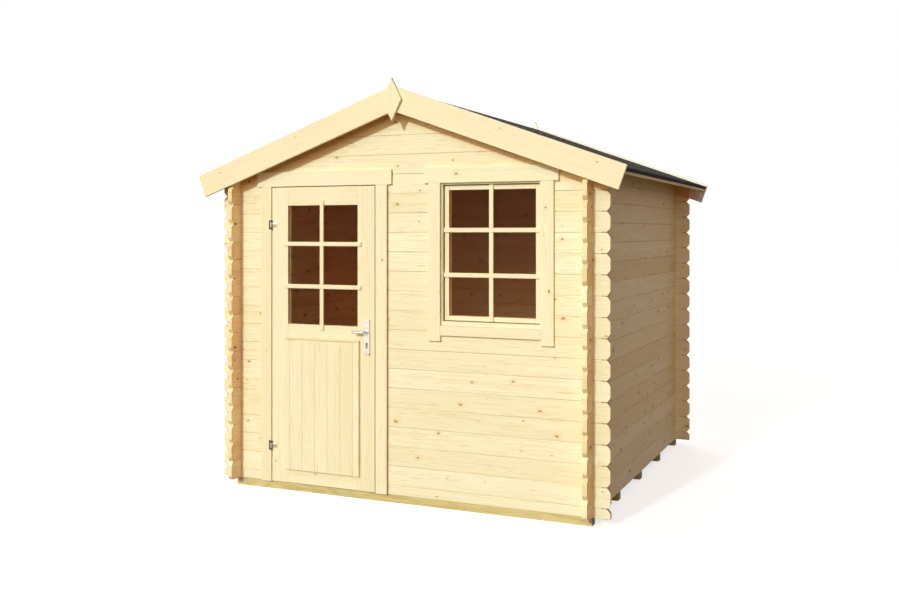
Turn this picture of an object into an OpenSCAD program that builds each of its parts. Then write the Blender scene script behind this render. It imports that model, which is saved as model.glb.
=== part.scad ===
// Log tool shed: interlocking wall logs on treated bearers, a felted pitched
// roof with bargeboards and diamond finials, a glazed door and a fixed window.
// Millimetres. X runs along the front wall, -Y is the front, Z = 0 is the ground.

/* [Footprint] */
// Width over the outer faces of the side walls
span_x = 2300; // [1900:10:3000]
// Depth over the outer faces of the front and back walls
span_y = 2300; // [1800:10:4000]

/* [Logs] */
// Height that each log adds to a wall
log_h = 114; // [100:1:140]
// Thickness of a wall log
wall_t = 28; // [24:1:40]
// Full logs in a side wall
side_logs = 17; // [17:1:20]
// How far a log runs past the wall that it crosses
log_end = 100; // [60:5:140]
// Depth of the cut at the corners of a log's end
nose_d = 21; // [10:1:40]
// Height of the cut at the corners of a log's end
nose_h = 25; // [10:1:45]
// Swell of the cut corners, which are slightly round
nose_swell = 1; // [1:0.5:6]
// Chamfer along the edges of a log's faces
seam_c = 2.5; // [1:0.5:6]
// Height of the tongue on top of each log
tongue_h = 6; // [3:0.5:10]
// Thickness of the tongue
tongue_t = 9; // [6:0.5:12]

/* [Bearers and floor] */
// Number of treated bearers under the shed
bearers = 5; // [3:1:8]
// Height of a bearer
bearer_h = 45; // [30:1:90]
// Width of a bearer
bearer_w = 58; // [45:1:90]
// Thickness of the floor
floor_t = 18; // [15:1:28]

/* [Roof] */
// Pitch of the roof in degrees
pitch = 19.8; // [15:0.1:25]
// How far the roof plane dips under the top corner of the side walls
seat_dip = 5; // [3:1:20]
// Thickness of the roof boards
roof_t = 18; // [15:1:24]
// Thickness of the roofing felt
felt_t = 2.5; // [1.5:0.5:5]
// Length of the felt strip on each side of the ridge
ridge_strip = 150; // [80:10:250]
// Overhang of the roof boards past the side walls
eave_reach = 205; // [120:5:300]
// Overhang of the roof boards past the front and back walls
gable_reach = 87; // [60:1:300]
// Width of the batten under each eave
batten_w = 40; // [25:1:60]
// Thickness of the batten under each eave
batten_t = 16; // [10:1:25]
// Width of the ridge purlin and side purlins
purlin_w = 44; // [35:1:70]
// Height of the ridge purlin
ridge_h = 92; // [70:1:120]
// Height of the side purlins
purlin_h = 70; // [50:1:100]
// Distance of the side purlins from the middle of the shed
purlin_x = 575; // [400:5:700]

/* [Bargeboards] */
// Width of a bargeboard
barge_w = 139; // [110:1:180]
// Thickness of a bargeboard
barge_t = 18; // [15:1:28]
// How far a bargeboard stands above the felt
barge_rise = 15.5; // [5:0.5:30]
// How far a bargeboard runs past the roof boards
barge_past = 12; // [5:1:60]
// Height of a finial
finial_h = 250; // [180:5:350]
// Width of a finial
finial_w = 122; // [80:2:180]
// How far the middle of a finial sits below the middle of the bargeboards
finial_drop = 8; // [0:1:20]

/* [Trim and frames] */
// Width of a casing board
casing_w = 75; // [60:1:100]
// Thickness of a casing board
casing_t = 18; // [12:1:25]
// Height of a head board
head_h = 90; // [70:1:110]
// How far a head board runs past its casings
head_past = 29; // [10:1:40]
// Width of a door or window frame member behind the casings
frame_w = 30; // [25:1:45]
// Depth of a door frame, from the outer face of the wall
door_frame_d = 58; // [56:1:90]
// Depth of the window frame, from the outer face of the wall
window_frame_d = 68; // [66:1:90]

/* [Door] */
// Middle of the doorway, from the middle of the shed
door_x = -522; // [-600:1:-480]
// Clear width between the door casings
door_w = 726; // [600:1:800]
// Clear height of the doorway
door_h = 1820; // [1600:5:1830]
// Gap on the hinge side, at the top and at the bottom of the leaf
door_gap = 5; // [5:0.5:8]
// Gap on the lock side of the leaf
latch_gap = 7; // [7:0.5:10]
// Thickness of the leaf
leaf_t = 40; // [36:1:44]
// How far the leaf sits back from the face of the casings
leaf_back = 4; // [1:0.5:8]
// Width of a stile
stile_w = 114; // [95:1:130]
// Width of a rail
rail_w = 112; // [90:1:130]
// Height of the bottom edge of the door glass
door_glass_z = 977; // [900:1:1100]
// Height that the planted panel covers, from the bottom of the doorway
panel_top = 888; // [700:1:900]
// Height of the bottom edge of the planted panel
panel_bottom = 90; // [60:1:105]
// How far the planted panel laps over the stiles
panel_lap = 16; // [10:1:30]
// Thickness of the planted panel
panel_t = 18; // [12:1:20]
// Width of the stop that the leaf closes against
stop_w = 14; // [10:1:20]
// Height of the threshold
threshold_h = 30; // [20:1:45]

/* [Glazing] */
// Thickness of a pane
glass_t = 4; // [3:1:6]
// How deep a pane sits in its groove
glass_bite = 8; // [5:1:12]
// How far a pane sits behind the face of its sash or leaf
glass_back = 24; // [12:1:26]

/* [Window] */
// Middle of the window, from the middle of the shed
window_x = 560.5; // [500:0.5:620]
// Clear width between the window casings
window_w = 605; // [450:1:640]
// Height of the bottom of the window frame's face
window_bottom = 1006; // [800:1:1100]
// Height of the underside of the window's head board
window_top = 1822; // [1600:1:1830]
// Width of the frame that shows inside the casings
lip_w = 9; // [5:1:20]
// Height of the sill that shows above the bottom trim
sill_h = 24; // [15:1:40]
// Depth of the frame in front of the sash
lip_d = 23; // [15:1:25]
// How far the sash runs behind the frame
sash_lap = 10; // [5:1:12]
// Width of a sash member
sash_w = 41; // [35:1:50]
// Thickness of the sash
sash_t = 40; // [34:1:44]
// Height of the bottom trim
apron_h = 58; // [45:1:80]
// How far the casings run below the bottom trim
casing_past = 33; // [15:1:50]

/* [Door furniture] */
// Height of the lower hinge's middle
low_hinge_z = 225; // [150:5:300]
// Height of the upper hinge's middle
high_hinge_z = 1586; // [1400:2:1640]
// Height of a hinge barrel
barrel_h = 58; // [45:1:70]
// Radius of a hinge barrel
barrel_r = 6; // [5:0.5:8]
// Radius of a hinge pin
pin_r = 3; // [2:0.5:3.5]
// Length of the hinge plate on the door
door_plate_w = 37; // [30:1:45]
// Length of the hinge plate on the casing
casing_plate_w = 19; // [14:1:25]
// Height of the spindle above the bottom of the doorway
lever_z = 950; // [900:1:1050]
// Distance of the spindle from the lock edge of the leaf
backset = 50; // [40:1:60]
// Length of the lever from its spindle
lever_l = 80; // [70:1:130]
// Height of a lock plate
plate_h = 205; // [180:1:240]
// Width of a lock plate
plate_w = 39; // [32:1:45]
// Thickness of a lock plate
plate_t = 7; // [4:0.5:10]

/* [Hidden] */

pine = [0.97, 0.89, 0.70];
pale_pine = [1.0, 0.93, 0.78];
shade_pine = [0.80, 0.62, 0.42];
treated = [0.80, 0.74, 0.45];
felt_grey = [0.22, 0.22, 0.23];
pane_grey = [0.45, 0.35, 0.28, 0.5];
steel = [0.72, 0.72, 0.74];

fit = 0.3;             // gap between pieces that bear on each other
log_gap = 0.4;         // gap between stacked logs, closed by the tongue
joint_gap = 0.1;       // running clearance round a pin
big = 6000;            // larger than the shed, for cutting solids
over = 1;              // how far a solid runs into or past another, to join or cut it cleanly
barge_gap = 1;         // between the logs and the bargeboards' undersides
gable_least = 40;      // a gable piece lower than this joins the log below it

wall_z = bearer_h;                     // underside of the first full side logs
half = log_h / 2;                      // the front and back walls start with half a log
notch_d = log_h / 4;                   // depth of a corner notch, top and bottom
rise = tan(pitch);
slope = 1 / cos(pitch);                // plumb thickness of one unit laid on the slope
seat_z = wall_z + side_logs * log_h - seat_dip;
under_z = seat_z + rise * span_x / 2;  // underside of the roof boards at the ridge
deck_z = under_z + roof_t * slope;
felt_z = deck_z + (fit + felt_t) * slope;
barge_z = felt_z + barge_rise;
barge_low_z = barge_z - barge_w * slope;
eave_x = span_x / 2 + eave_reach;
barge_x = eave_x + barge_past;
roof_y = span_y / 2 + gable_reach;     // ends of the roof boards
gable_z = wall_z + (side_logs - 0.5) * log_h;
gable_logs = ceil((under_z - gable_z - gable_least) / log_h);

front = -span_y / 2;                   // outer face of the front wall
casing_face = front - casing_t;
door_l = door_x - door_w / 2;
door_r = door_x + door_w / 2;
door_top = wall_z + door_h;
leaf_l = door_l + door_gap;
leaf_r = door_r - latch_gap;
leaf_z0 = wall_z + door_gap;
leaf_z1 = door_top - door_gap;
leaf_face = casing_face + leaf_back;
stop_y = leaf_face + leaf_t + door_gap + fit;
door_glass_z0 = wall_z + door_glass_z;
door_glass_z1 = leaf_z1 - rail_w;
lock_rail_z = door_glass_z0 - rail_w;
panel_face = leaf_face - fit - panel_t;

win_l = window_x - window_w / 2;
win_r = window_x + window_w / 2;
win_z0 = wall_z + window_bottom;
win_z1 = wall_z + window_top;
sash_gap = 0.6;                        // round the sash in its frame
sash_face = front + lip_d;
sash_l = win_l + lip_w - sash_lap;
sash_r = win_r - lip_w + sash_lap;
sash_z0 = win_z0 + sill_h - sash_lap;
sash_z1 = win_z1 - lip_w + sash_lap;

hinge_x = door_l + door_gap / 2;
hinge_y = casing_face - barrel_r - fit;
hinge_plate_t = 2.5;
hinge_set = 1.5;                       // from the barrel to the plate on the casing
crank_gap = 0.6;                       // between the pin and the crank of the plate on the leaf
lever_x = leaf_r - backset;
lever_axis_z = wall_z + lever_z;
neck_r = 8;
bar_r = 8.5;
lever_reach = 38;                      // from the lock plate to the middle of the lever
hole_gap = 1;                          // round the lock's parts in the leaf
plate_drop = 32;                       // from the spindle down to the middle of the lock plate
cylinder_proud = 2;                    // how far the cylinder stands out of the lock plate
cylinder_drop = 72;                    // from the spindle down to the key cylinder
cylinder_r = 8.5;
cylinder_web = 10;                     // width of the flat part below the cylinder's plug
cylinder_h = 24.5;                     // from the plug's middle to the bottom of the flat part

// ---- Logs ----

// What is cut from a log's corner, for a corner at the origin with the log below and to the left
module nose_cut() {
    polygon(concat(
        [[-nose_d, 2 * tongue_h]],
        [for (t = [0 : 0.25 : 1])
            [-nose_d * (1 - t) + nose_swell * sin(180 * t), -nose_h * t + nose_swell * sin(180 * t)]],
        [[over, -nose_h], [over, 2 * tongue_h]]));
}

// A log seen from its face: crossings lists the middles of the walls that it crosses,
// and noses lists the ends that are cut, -1 for the near end and 1 for the far end
module log_face(a, b, h, crossings, noses, seated) {
    top = h - log_gap;
    notch = notch_d + fit / 2;
    difference() {
        translate([a, 0]) square([b - a, top + tongue_h]);
        for (x = crossings) translate([x - wall_t / 2 - fit, 0]) {
            translate([0, h - notch]) square([wall_t + 2 * fit, notch + 2 * tongue_h]);
            if (!seated) translate([0, -over]) square([wall_t + 2 * fit, notch + over]);
        }
        for (s = noses) translate([s < 0 ? a : b, 0]) mirror([s < 0 ? 1 : 0, 0]) {
            translate([0, top]) nose_cut();
            if (!seated) mirror([0, 1]) nose_cut();
        }
    }
}

// A log's section: outer face at 0, inner face at wall_t, with its tongue and groove
module log_section(h, grooved) {
    top = h - log_gap;
    mid = wall_t / 2;
    difference() {
        union() {
            polygon([[0, seam_c], [seam_c, 0], [wall_t - seam_c, 0], [wall_t, seam_c],
                     [wall_t, top - seam_c], [wall_t - seam_c, top], [seam_c, top], [0, top - seam_c]]);
            translate([mid - tongue_t / 2, top - over]) square([tongue_t, tongue_h + over]);
        }
        if (grooved) translate([mid - tongue_t / 2 - fit, -over])
            square([tongue_t + 2 * fit, tongue_h + over]);
    }
}

// A log along X, with its outer face on y = 0 and its underside on z = 0
module log(a, b, h, crossings = [], noses = [], seated = false) {
    intersection() {
        rotate([90, 0, 90]) translate([0, 0, a]) linear_extrude(b - a) log_section(h, !seated);
        translate([0, wall_t + over, 0]) rotate([90, 0, 0]) linear_extrude(wall_t + 2 * over)
            log_face(a, b, h, crossings, noses, seated);
    }
}

// Log number k of the front or back wall, where log 0 is the half log on the bearer
function course_z(k) = k == 0 ? wall_z : wall_z + (k - 0.5) * log_h;
function course_h(k) = k == 0 ? half : log_h;

module course(k, a, b, crossings, noses) {
    translate([0, 0, course_z(k)]) log(a, b, course_h(k), crossings, noses, k == 0);
}

// Everything below the roof boards
module under_roof() {
    edge = span_x / 2 + log_end + over;
    rotate([90, 0, 0]) linear_extrude(big, center = true)
        polygon([[-edge, 0], [edge, 0], [edge, under_z - fit - rise * edge], [0, under_z - fit],
                 [-edge, under_z - fit - rise * edge]]);
}

// The space that the bargeboards need at both ends of the shed
module barge_space() {
    for (s = [-1, 1]) scale([1, s, 1])
        translate([0, big, 0]) rotate([90, 0, 0]) linear_extrude(big - roof_y + fit)
            polygon([[0, barge_low_z - barge_gap], [barge_x, barge_low_z - barge_gap - rise * barge_x],
                     [barge_x, big], [-barge_x, big], [-barge_x, barge_low_z - barge_gap - rise * barge_x]]);
}

// A side wall, with its outer face on y = 0; its top log is bevelled to the roof
module side_wall(outer_x) {
    crossing = span_y / 2 - wall_t / 2;
    end = span_y / 2 + log_end;
    turn = outer_x < 0 ? -90 : 90;
    for (k = [0 : side_logs - 1]) {
        z = wall_z + k * log_h;
        if (z + log_h + tongue_h < barge_low_z - rise * span_x / 2 - 2 * barge_gap)
            translate([outer_x, 0, z]) rotate([0, 0, turn])
                log(-end, end, log_h, [-crossing, crossing], [-1, 1], false);
        else difference() {
            intersection() {
                translate([outer_x, 0, z]) rotate([0, 0, turn])
                    log(-end, end, log_h, [-crossing, crossing], [-1, 1], false);
                under_roof();
            }
            barge_space();
        }
    }
}

corner_x = span_x / 2 - wall_t / 2;
end_x = span_x / 2 + log_end;
door_open_l = door_l - frame_w;
door_open_r = door_r + frame_w;
door_open_top = door_top + frame_w;
win_open_l = win_l - frame_w;
win_open_r = win_r + frame_w;
win_open_top = win_z1 + frame_w;
// the window opening starts on the nearest joint between logs below its frame
win_open_z0 = wall_z + (floor((window_bottom - frame_w) / log_h - 0.5) + 0.5) * log_h;
first_over = floor((door_h + frame_w) / log_h - 0.5) + 1;

module doorway() {
    translate([door_open_l - fit, front - over, wall_z - over])
        cube([door_open_r - door_open_l + 2 * fit, wall_t + 2 * over, door_open_top - wall_z + over + fit]);
}

module window_opening() {
    translate([win_open_l - fit, front - over, win_open_z0 - log_gap])
        cube([win_open_r - win_open_l + 2 * fit, wall_t + 2 * over, win_open_top - win_open_z0 + log_gap + fit]);
}

module left_wall() {
    color(shade_pine) side_wall(-span_x / 2);
}

module right_wall() {
    color(shade_pine) side_wall(span_x / 2);
}

module back_wall() {
    color(pine) rotate([0, 0, 180]) translate([0, front, 0]) for (k = [0 : side_logs - 1])
        course(k, -end_x, end_x, [-corner_x, corner_x], [-1, 1]);
}

module front_wall_left() {
    color(pine) translate([0, front, 0]) for (k = [0 : first_over - 1])
        course(k, -end_x, door_open_l - fit, [-corner_x], [-1]);
}

module front_wall_right() {
    color(pine) difference() {
        translate([0, front, 0]) for (k = [0 : first_over - 1])
            course(k, door_open_r + fit, end_x, [corner_x], [1]);
        window_opening();
    }
}

module front_wall_over_door() {
    color(pine) difference() {
        translate([0, front, 0]) for (k = [first_over : side_logs - 1])
            course(k, -end_x, end_x, [-corner_x, corner_x], [-1, 1]);
        doorway();
        window_opening();
    }
}

// The logs above the eaves, cut to the roof and round the purlins
module gable() {
    difference() {
        intersection() {
            union() {
                for (k = [0 : gable_logs - 1]) {
                    h = k < gable_logs - 1 ? log_h : under_z - gable_z - k * log_h + log_gap;
                    translate([0, front, gable_z + k * log_h])
                        log(-span_x / 2, span_x / 2, h, k == 0 ? [-corner_x, corner_x] : [], [], false);
                }
            }
            under_roof();
        }
        ridge_section(fit);
        for (s = [-1, 1]) purlin_section(s, fit);
    }
}

module front_gable() {
    color(pine) gable();
}

module back_gable() {
    color(pine) rotate([0, 0, 180]) gable();
}

// ---- Bearers and floor ----

module bearers_treated() {
    color(treated) for (i = [0 : bearers - 1])
        translate([-span_x / 2, front + i * (span_y - bearer_w) / (bearers - 1), 0])
            cube([span_x, bearer_w, bearer_h - fit]);
}

module floor_deck() {
    in_x = span_x / 2 - wall_t - fit;
    in_y = span_y / 2 - wall_t - fit;
    color(pine) difference() {
        translate([-in_x, -in_y, wall_z]) cube([2 * in_x, 2 * in_y, floor_t]);
        translate([door_open_l - fit, front, wall_z - over])
            cube([door_open_r - door_open_l + 2 * fit, door_frame_d + fit, floor_t + 2 * over]);
    }
}

// ---- Roof ----

// Draws a shape of the cross-section, X across and Z up, along the whole roof
module along_roof(len = 2 * (roof_y - fit)) {
    rotate([90, 0, 0]) linear_extrude(len, center = true) children();
}

// A point of the right-hand slope, d down the slope from the eave corner of the boards and n above it
function at_eave(d, n) = [eave_x + d * cos(pitch) + n * sin(pitch),
                          deck_z - rise * eave_x - d * sin(pitch) + n * cos(pitch)];

module ridge_section(c) {
    w = purlin_w / 2 + c;
    z = under_z - fit + c;
    along_roof(2 * (roof_y - fit) + 2 * c) polygon([[-w, z - rise * w], [0, z], [w, z - rise * w],
        [w, under_z - ridge_h - c], [-w, under_z - ridge_h - c]]);
}

module purlin_section(s, c) {
    a = purlin_x - purlin_w / 2 - c;
    b = purlin_x + purlin_w / 2 + c;
    z = under_z - fit + c;
    low = under_z - rise * purlin_x - purlin_h - c;
    scale([s, 1, 1]) along_roof(2 * (roof_y - fit) + 2 * c)
        polygon([[a, z - rise * a], [b, z - rise * b], [b, low], [a, low]]);
}

module roof_boards(s) {
    scale([s, 1, 1]) along_roof() polygon([[fit / 2, deck_z - rise * fit / 2], at_eave(0, 0),
        at_eave(0, -roof_t), [fit / 2, under_z - rise * fit / 2]]);
}

module felt(s) {
    out = fit + felt_t;
    scale([s, 1, 1]) along_roof() polygon([[fit / 2, felt_z - rise * fit / 2], at_eave(out, out),
        at_eave(out, -roof_t), at_eave(fit, -roof_t), at_eave(fit, fit),
        [fit / 2, felt_z - felt_t * slope - rise * fit / 2]]);
}

module eave_batten(s) {
    top = -roof_t - fit;
    scale([s, 1, 1]) along_roof() polygon([at_eave(0, top), at_eave(0, top - batten_t),
        at_eave(-batten_w, top - batten_t), at_eave(-batten_w, top)]);
}

module felt_ridge() {
    low = felt_z + fit * slope;
    top = low + felt_t * slope;
    x = ridge_strip * cos(pitch);
    color(felt_grey) along_roof() polygon([[0, low], [x, low - rise * x],
        [x + felt_t * sin(pitch), top - rise * (x + felt_t * sin(pitch))], [0, top],
        [-x - felt_t * sin(pitch), top - rise * (x + felt_t * sin(pitch))], [-x, low - rise * x]]);
}

module ridge_purlin() {
    color(shade_pine) ridge_section(0);
}

module side_purlins() {
    color(shade_pine) for (s = [-1, 1]) purlin_section(s, 0);
}

module roof_boards_left() {
    color(shade_pine) roof_boards(-1);
}

module roof_boards_right() {
    color(shade_pine) roof_boards(1);
}

module felt_left() {
    color(felt_grey) felt(-1);
}

module felt_right() {
    color(felt_grey) felt(1);
}

module eave_batten_left() {
    color(pine) eave_batten(-1);
}

module eave_batten_right() {
    color(pine) eave_batten(1);
}

// ---- Bargeboards and finials ----

// end is -1 at the front and 1 at the back; s is -1 on the left and 1 on the right
module bargeboard(end, s) {
    low_x = barge_x - barge_w * sin(pitch);
    low_end = barge_z - rise * barge_x - barge_w * cos(pitch);
    color(pale_pine) scale([s, end, 1]) translate([0, roof_y + barge_t, 0]) rotate([90, 0, 0])
        linear_extrude(barge_t) polygon([[fit, barge_z - rise * fit],
            [barge_x, barge_z - rise * barge_x], [low_x, low_end], [fit, barge_low_z - rise * fit]]);
}

module finial(end) {
    mid = (barge_z + barge_low_z) / 2 - finial_drop;
    color(pale_pine) scale([1, end, 1]) translate([0, roof_y + 2 * barge_t + fit, mid])
        rotate([90, 0, 0]) linear_extrude(barge_t)
            polygon([[0, finial_h / 2], [finial_w / 2, 0], [0, -finial_h / 2], [-finial_w / 2, 0]]);
}

module front_bargeboards() {
    for (s = [-1, 1]) bargeboard(-1, s);
}

module back_bargeboards() {
    for (s = [-1, 1]) bargeboard(1, s);
}

module front_finial() {
    finial(-1);
}

module back_finial() {
    finial(1);
}

// ---- Boards and frames ----

// A box between two corners
module slab(x0, x1, y0, y1, z0, z1) {
    translate([x0, y0, z0]) cube([x1 - x0, y1 - y0, z1 - z0]);
}

// A board on the outer face of the front wall
module face_board(x0, x1, z0, z1) {
    color(pale_pine) slab(x0, x1, casing_face, front - fit, z0, z1);
}

module door_casings() {
    face_board(door_l - casing_w, door_l, wall_z, door_top - fit);
    face_board(door_r, door_r + casing_w, wall_z, door_top - fit);
}

module door_head_board() {
    face_board(door_l - casing_w - head_past, door_r + casing_w + head_past, door_top, door_top + head_h);
}

// Jambs and head, each with the stop that the leaf closes against
module door_frame() {
    back = front + door_frame_d;
    color(pale_pine) {
        for (s = [-1, 1]) translate([door_x, 0, wall_z]) scale([s, 1, 1])
            linear_extrude(door_h - fit) polygon([[door_w / 2, front], [door_w / 2 + frame_w, front],
                [door_w / 2 + frame_w, back], [door_w / 2 - stop_w, back],
                [door_w / 2 - stop_w, stop_y], [door_w / 2, stop_y]]);
        union() {
            slab(door_open_l, door_open_r, front, back, door_top, door_open_top);
            slab(door_l + stop_w + fit, door_r - stop_w - fit, stop_y, back, door_top - stop_w, door_top + over);
        }
    }
}

module door_threshold() {
    color(pale_pine) slab(door_l + stop_w + fit, door_r - stop_w - fit, stop_y, front + door_frame_d,
        wall_z, wall_z + threshold_h);
}

module window_casings() {
    low = win_z0 - apron_h - casing_past;
    face_board(win_l - casing_w, win_l, low, win_z1 - fit);
    face_board(win_r, win_r + casing_w, low, win_z1 - fit);
}

module window_head_board() {
    face_board(win_l - casing_w - head_past, win_r + casing_w + head_past, win_z1, win_z1 + head_h);
}

module window_apron() {
    face_board(win_l + fit, win_r - fit, win_z0 - apron_h, win_z0 - fit);
}

// Jambs, head and sill, each with a lip in front of the sash
module window_frame() {
    back = front + window_frame_d;
    lip = front + lip_d - fit;
    lip_z0 = win_z0 + sill_h + fit;
    lip_z1 = win_z1 - lip_w - fit;
    inner = sash_r + sash_gap - window_x;
    outer = win_open_r - window_x;
    color(pale_pine) {
        union() {
            slab(win_open_l, win_open_r, front, back, win_open_z0, sash_z0 - sash_gap);
            slab(win_open_l, win_open_r, front, lip, win_open_z0, win_z0 + sill_h);
        }
        union() {
            slab(win_open_l, win_open_r, front, back, sash_z1 + sash_gap, win_open_top);
            slab(win_open_l, win_open_r, front, lip, win_z1 - lip_w, win_open_top);
        }
        for (s = [-1, 1]) translate([window_x, 0, 0]) scale([s, 1, 1]) union() {
            slab(inner, outer, lip + fit, back, sash_z0 - sash_gap + fit, sash_z1 + sash_gap - fit);
            slab(inner, outer, lip - over, lip + over, lip_z0, lip_z1);
            slab(window_w / 2 - lip_w, outer, front, lip, lip_z0, lip_z1);
        }
    }
}

// The groove that a pane sits in, for a clear opening between two corners
module pane_groove(x0, x1, z0, z1, face) {
    b = glass_bite + fit;
    slab(x0 - b, x1 + b, face + glass_back - fit, face + glass_back + glass_t + fit, z0 - b, z1 + b);
}

module pane(x0, x1, z0, z1, face) {
    b = glass_bite;
    color(pane_grey) slab(x0 - b, x1 + b, face + glass_back, face + glass_back + glass_t, z0 - b, z1 + b);
}

module window_sash() {
    y0 = sash_face;
    y1 = sash_face + sash_t;
    color(pale_pine) difference() {
        union() {
            slab(sash_l, sash_l + sash_w, y0, y1, sash_z0, sash_z1);
            slab(sash_r - sash_w, sash_r, y0, y1, sash_z0, sash_z1);
            slab(sash_l + sash_w + fit, sash_r - sash_w - fit, y0, y1, sash_z0, sash_z0 + sash_w);
            slab(sash_l + sash_w + fit, sash_r - sash_w - fit, y0, y1, sash_z1 - sash_w, sash_z1);
        }
        pane_groove(sash_l + sash_w, sash_r - sash_w, sash_z0 + sash_w, sash_z1 - sash_w, sash_face);
    }
}

module window_glass() {
    pane(sash_l + sash_w, sash_r - sash_w, sash_z0 + sash_w, sash_z1 - sash_w, sash_face);
}

// ---- Door leaf ----

glass_l = leaf_l + stile_w;
glass_r = leaf_r - stile_w;

// The key cylinder's profile, with clearance c, round the cylinder's own middle
module cylinder_profile(c) {
    $fn = 40;
    circle(r = cylinder_r + c);
    translate([-cylinder_web / 2 - c, -cylinder_h - c]) square([cylinder_web + 2 * c, cylinder_h + c]);
}

// Draws a shape of the door's face, X across and Z up, from y0 back to y1
module through(y0, y1) {
    translate([0, y1, 0]) rotate([90, 0, 0]) linear_extrude(y1 - y0) children();
}

module lock_holes(y0, y1, c) {
    through(y0, y1) {
        translate([lever_x, lever_axis_z]) circle(r = neck_r + c, $fn = 48);
        translate([lever_x, lever_axis_z - cylinder_drop]) cylinder_profile(c);
    }
}

module door_stiles() {
    y1 = leaf_face + leaf_t;
    color(pale_pine) difference() {
        union() {
            slab(leaf_l, glass_l, leaf_face, y1, leaf_z0, leaf_z1);
            slab(glass_r, leaf_r, leaf_face, y1, leaf_z0, leaf_z1);
        }
        pane_groove(glass_l, glass_r, door_glass_z0, door_glass_z1, leaf_face);
        lock_holes(leaf_face - over, y1 + over, hole_gap);
    }
}

module door_rails() {
    y1 = leaf_face + leaf_t;
    color(pale_pine) difference() {
        for (z = [leaf_z0, lock_rail_z, door_glass_z1])
            slab(glass_l + fit, glass_r - fit, leaf_face, y1, z, z + rail_w);
        pane_groove(glass_l, glass_r, door_glass_z0, door_glass_z1, leaf_face);
    }
}

module door_glass() {
    pane(glass_l, glass_r, door_glass_z0, door_glass_z1, leaf_face);
}

module door_panel() {
    color(pale_pine) slab(glass_l - panel_lap, glass_r + panel_lap, panel_face, leaf_face - fit,
        wall_z + panel_bottom, wall_z + panel_top);
}

// ---- Hinges ----

knuckle_h = barrel_h / 4;
knuckle_gap = 0.5;

// The half of a hinge on the casing: a plate, two knuckles and the pin between them
module fixed_half(z) {
    y0 = casing_face - fit - hinge_plate_t;
    y1 = casing_face - fit;
    translate([0, 0, z - barrel_h / 2]) {
        translate([hinge_x, hinge_y, 0]) {
            cylinder(r = pin_r, h = barrel_h, $fn = 32);
            for (k = [0, barrel_h - knuckle_h]) translate([0, 0, k])
                cylinder(r = barrel_r, h = knuckle_h, $fn = 48);
        }
        slab(hinge_x - casing_plate_w, hinge_x - barrel_r - hinge_set, y0, y1, 0, barrel_h);
        for (k = [0, barrel_h - knuckle_h])
            slab(hinge_x - barrel_r - hinge_set - fit, hinge_x, y0, y1, k, k + knuckle_h);
    }
}

// The half of a hinge on the leaf: a plate, cranked over the gap, and the middle knuckle
module moving_half(z) {
    h = barrel_h - 2 * knuckle_h - 2 * knuckle_gap;
    y1 = leaf_face - fit;
    difference() {
        union() {
            translate([hinge_x, hinge_y, z - h / 2]) cylinder(r = barrel_r, h = h, $fn = 48);
            slab(hinge_x + pin_r + crank_gap, hinge_x + barrel_r, hinge_y, y1, z - h / 2, z + h / 2);
            slab(hinge_x + pin_r + crank_gap, hinge_x + door_plate_w, y1 - hinge_plate_t, y1, z - h / 2, z + h / 2);
        }
        translate([hinge_x, hinge_y, z - h / 2 - over])
            cylinder(r = pin_r + joint_gap, h = h + 2 * over, $fn = 32);
    }
}

module hinge_pins() {
    color(steel) for (z = [low_hinge_z, high_hinge_z]) fixed_half(wall_z + z);
}

module hinge_plates() {
    color(steel) for (z = [low_hinge_z, high_hinge_z]) moving_half(wall_z + z);
}

// ---- Lock ----

plate_face = leaf_face - fit - plate_t;
leaf_back_y = leaf_face + leaf_t;
plate_z = lever_axis_z - plate_drop;

module lock_plate(y0) {
    color(steel) difference() {
        slab(lever_x - plate_w / 2, lever_x + plate_w / 2, y0, y0 + plate_t,
            plate_z - plate_h / 2, plate_z + plate_h / 2);
        lock_holes(y0 - over, y0 + plate_t + over, fit);
    }
}

module lock_plates() {
    lock_plate(plate_face);
    lock_plate(leaf_back_y + fit);
}

module lock_cylinder() {
    color(steel) through(plate_face - cylinder_proud, leaf_back_y + fit + plate_t + cylinder_proud)
        translate([lever_x, lever_axis_z - cylinder_drop]) cylinder_profile(0);
}

// A lever with its neck; out is -1 for the outer lever and 1 for the inner one
module lever(plate_y, out) {
    bar_y = plate_y + out * lever_reach;
    neck_y = plate_y - out * plate_t / 2;
    translate([lever_x, 0, lever_axis_z]) {
        translate([0, min(neck_y, bar_y), 0]) rotate([-90, 0, 0])
            cylinder(r = neck_r, h = abs(bar_y - neck_y), $fn = 48);
        translate([0, bar_y, 0]) {
            sphere(r = bar_r, $fn = 48);
            rotate([0, -90, 0]) cylinder(r = bar_r, h = lever_l - bar_r, $fn = 48);
            translate([bar_r - lever_l, 0, 0]) sphere(r = bar_r, $fn = 48);
        }
    }
}

spindle_r = 4;
spindle_end = leaf_back_y + fit + plate_t + lever_reach / 2;

module lever_outer() {
    color(steel) {
        lever(plate_face, -1);
        translate([lever_x, plate_face, lever_axis_z]) rotate([-90, 0, 0])
            cylinder(r = spindle_r, h = spindle_end - plate_face, $fn = 32);
    }
}

module lever_inner() {
    color(steel) difference() {
        lever(leaf_back_y + fit + plate_t, 1);
        translate([lever_x, leaf_back_y, lever_axis_z]) rotate([-90, 0, 0])
            cylinder(r = spindle_r + joint_gap, h = spindle_end - leaf_back_y + fit, $fn = 32);
    }
}

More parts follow.
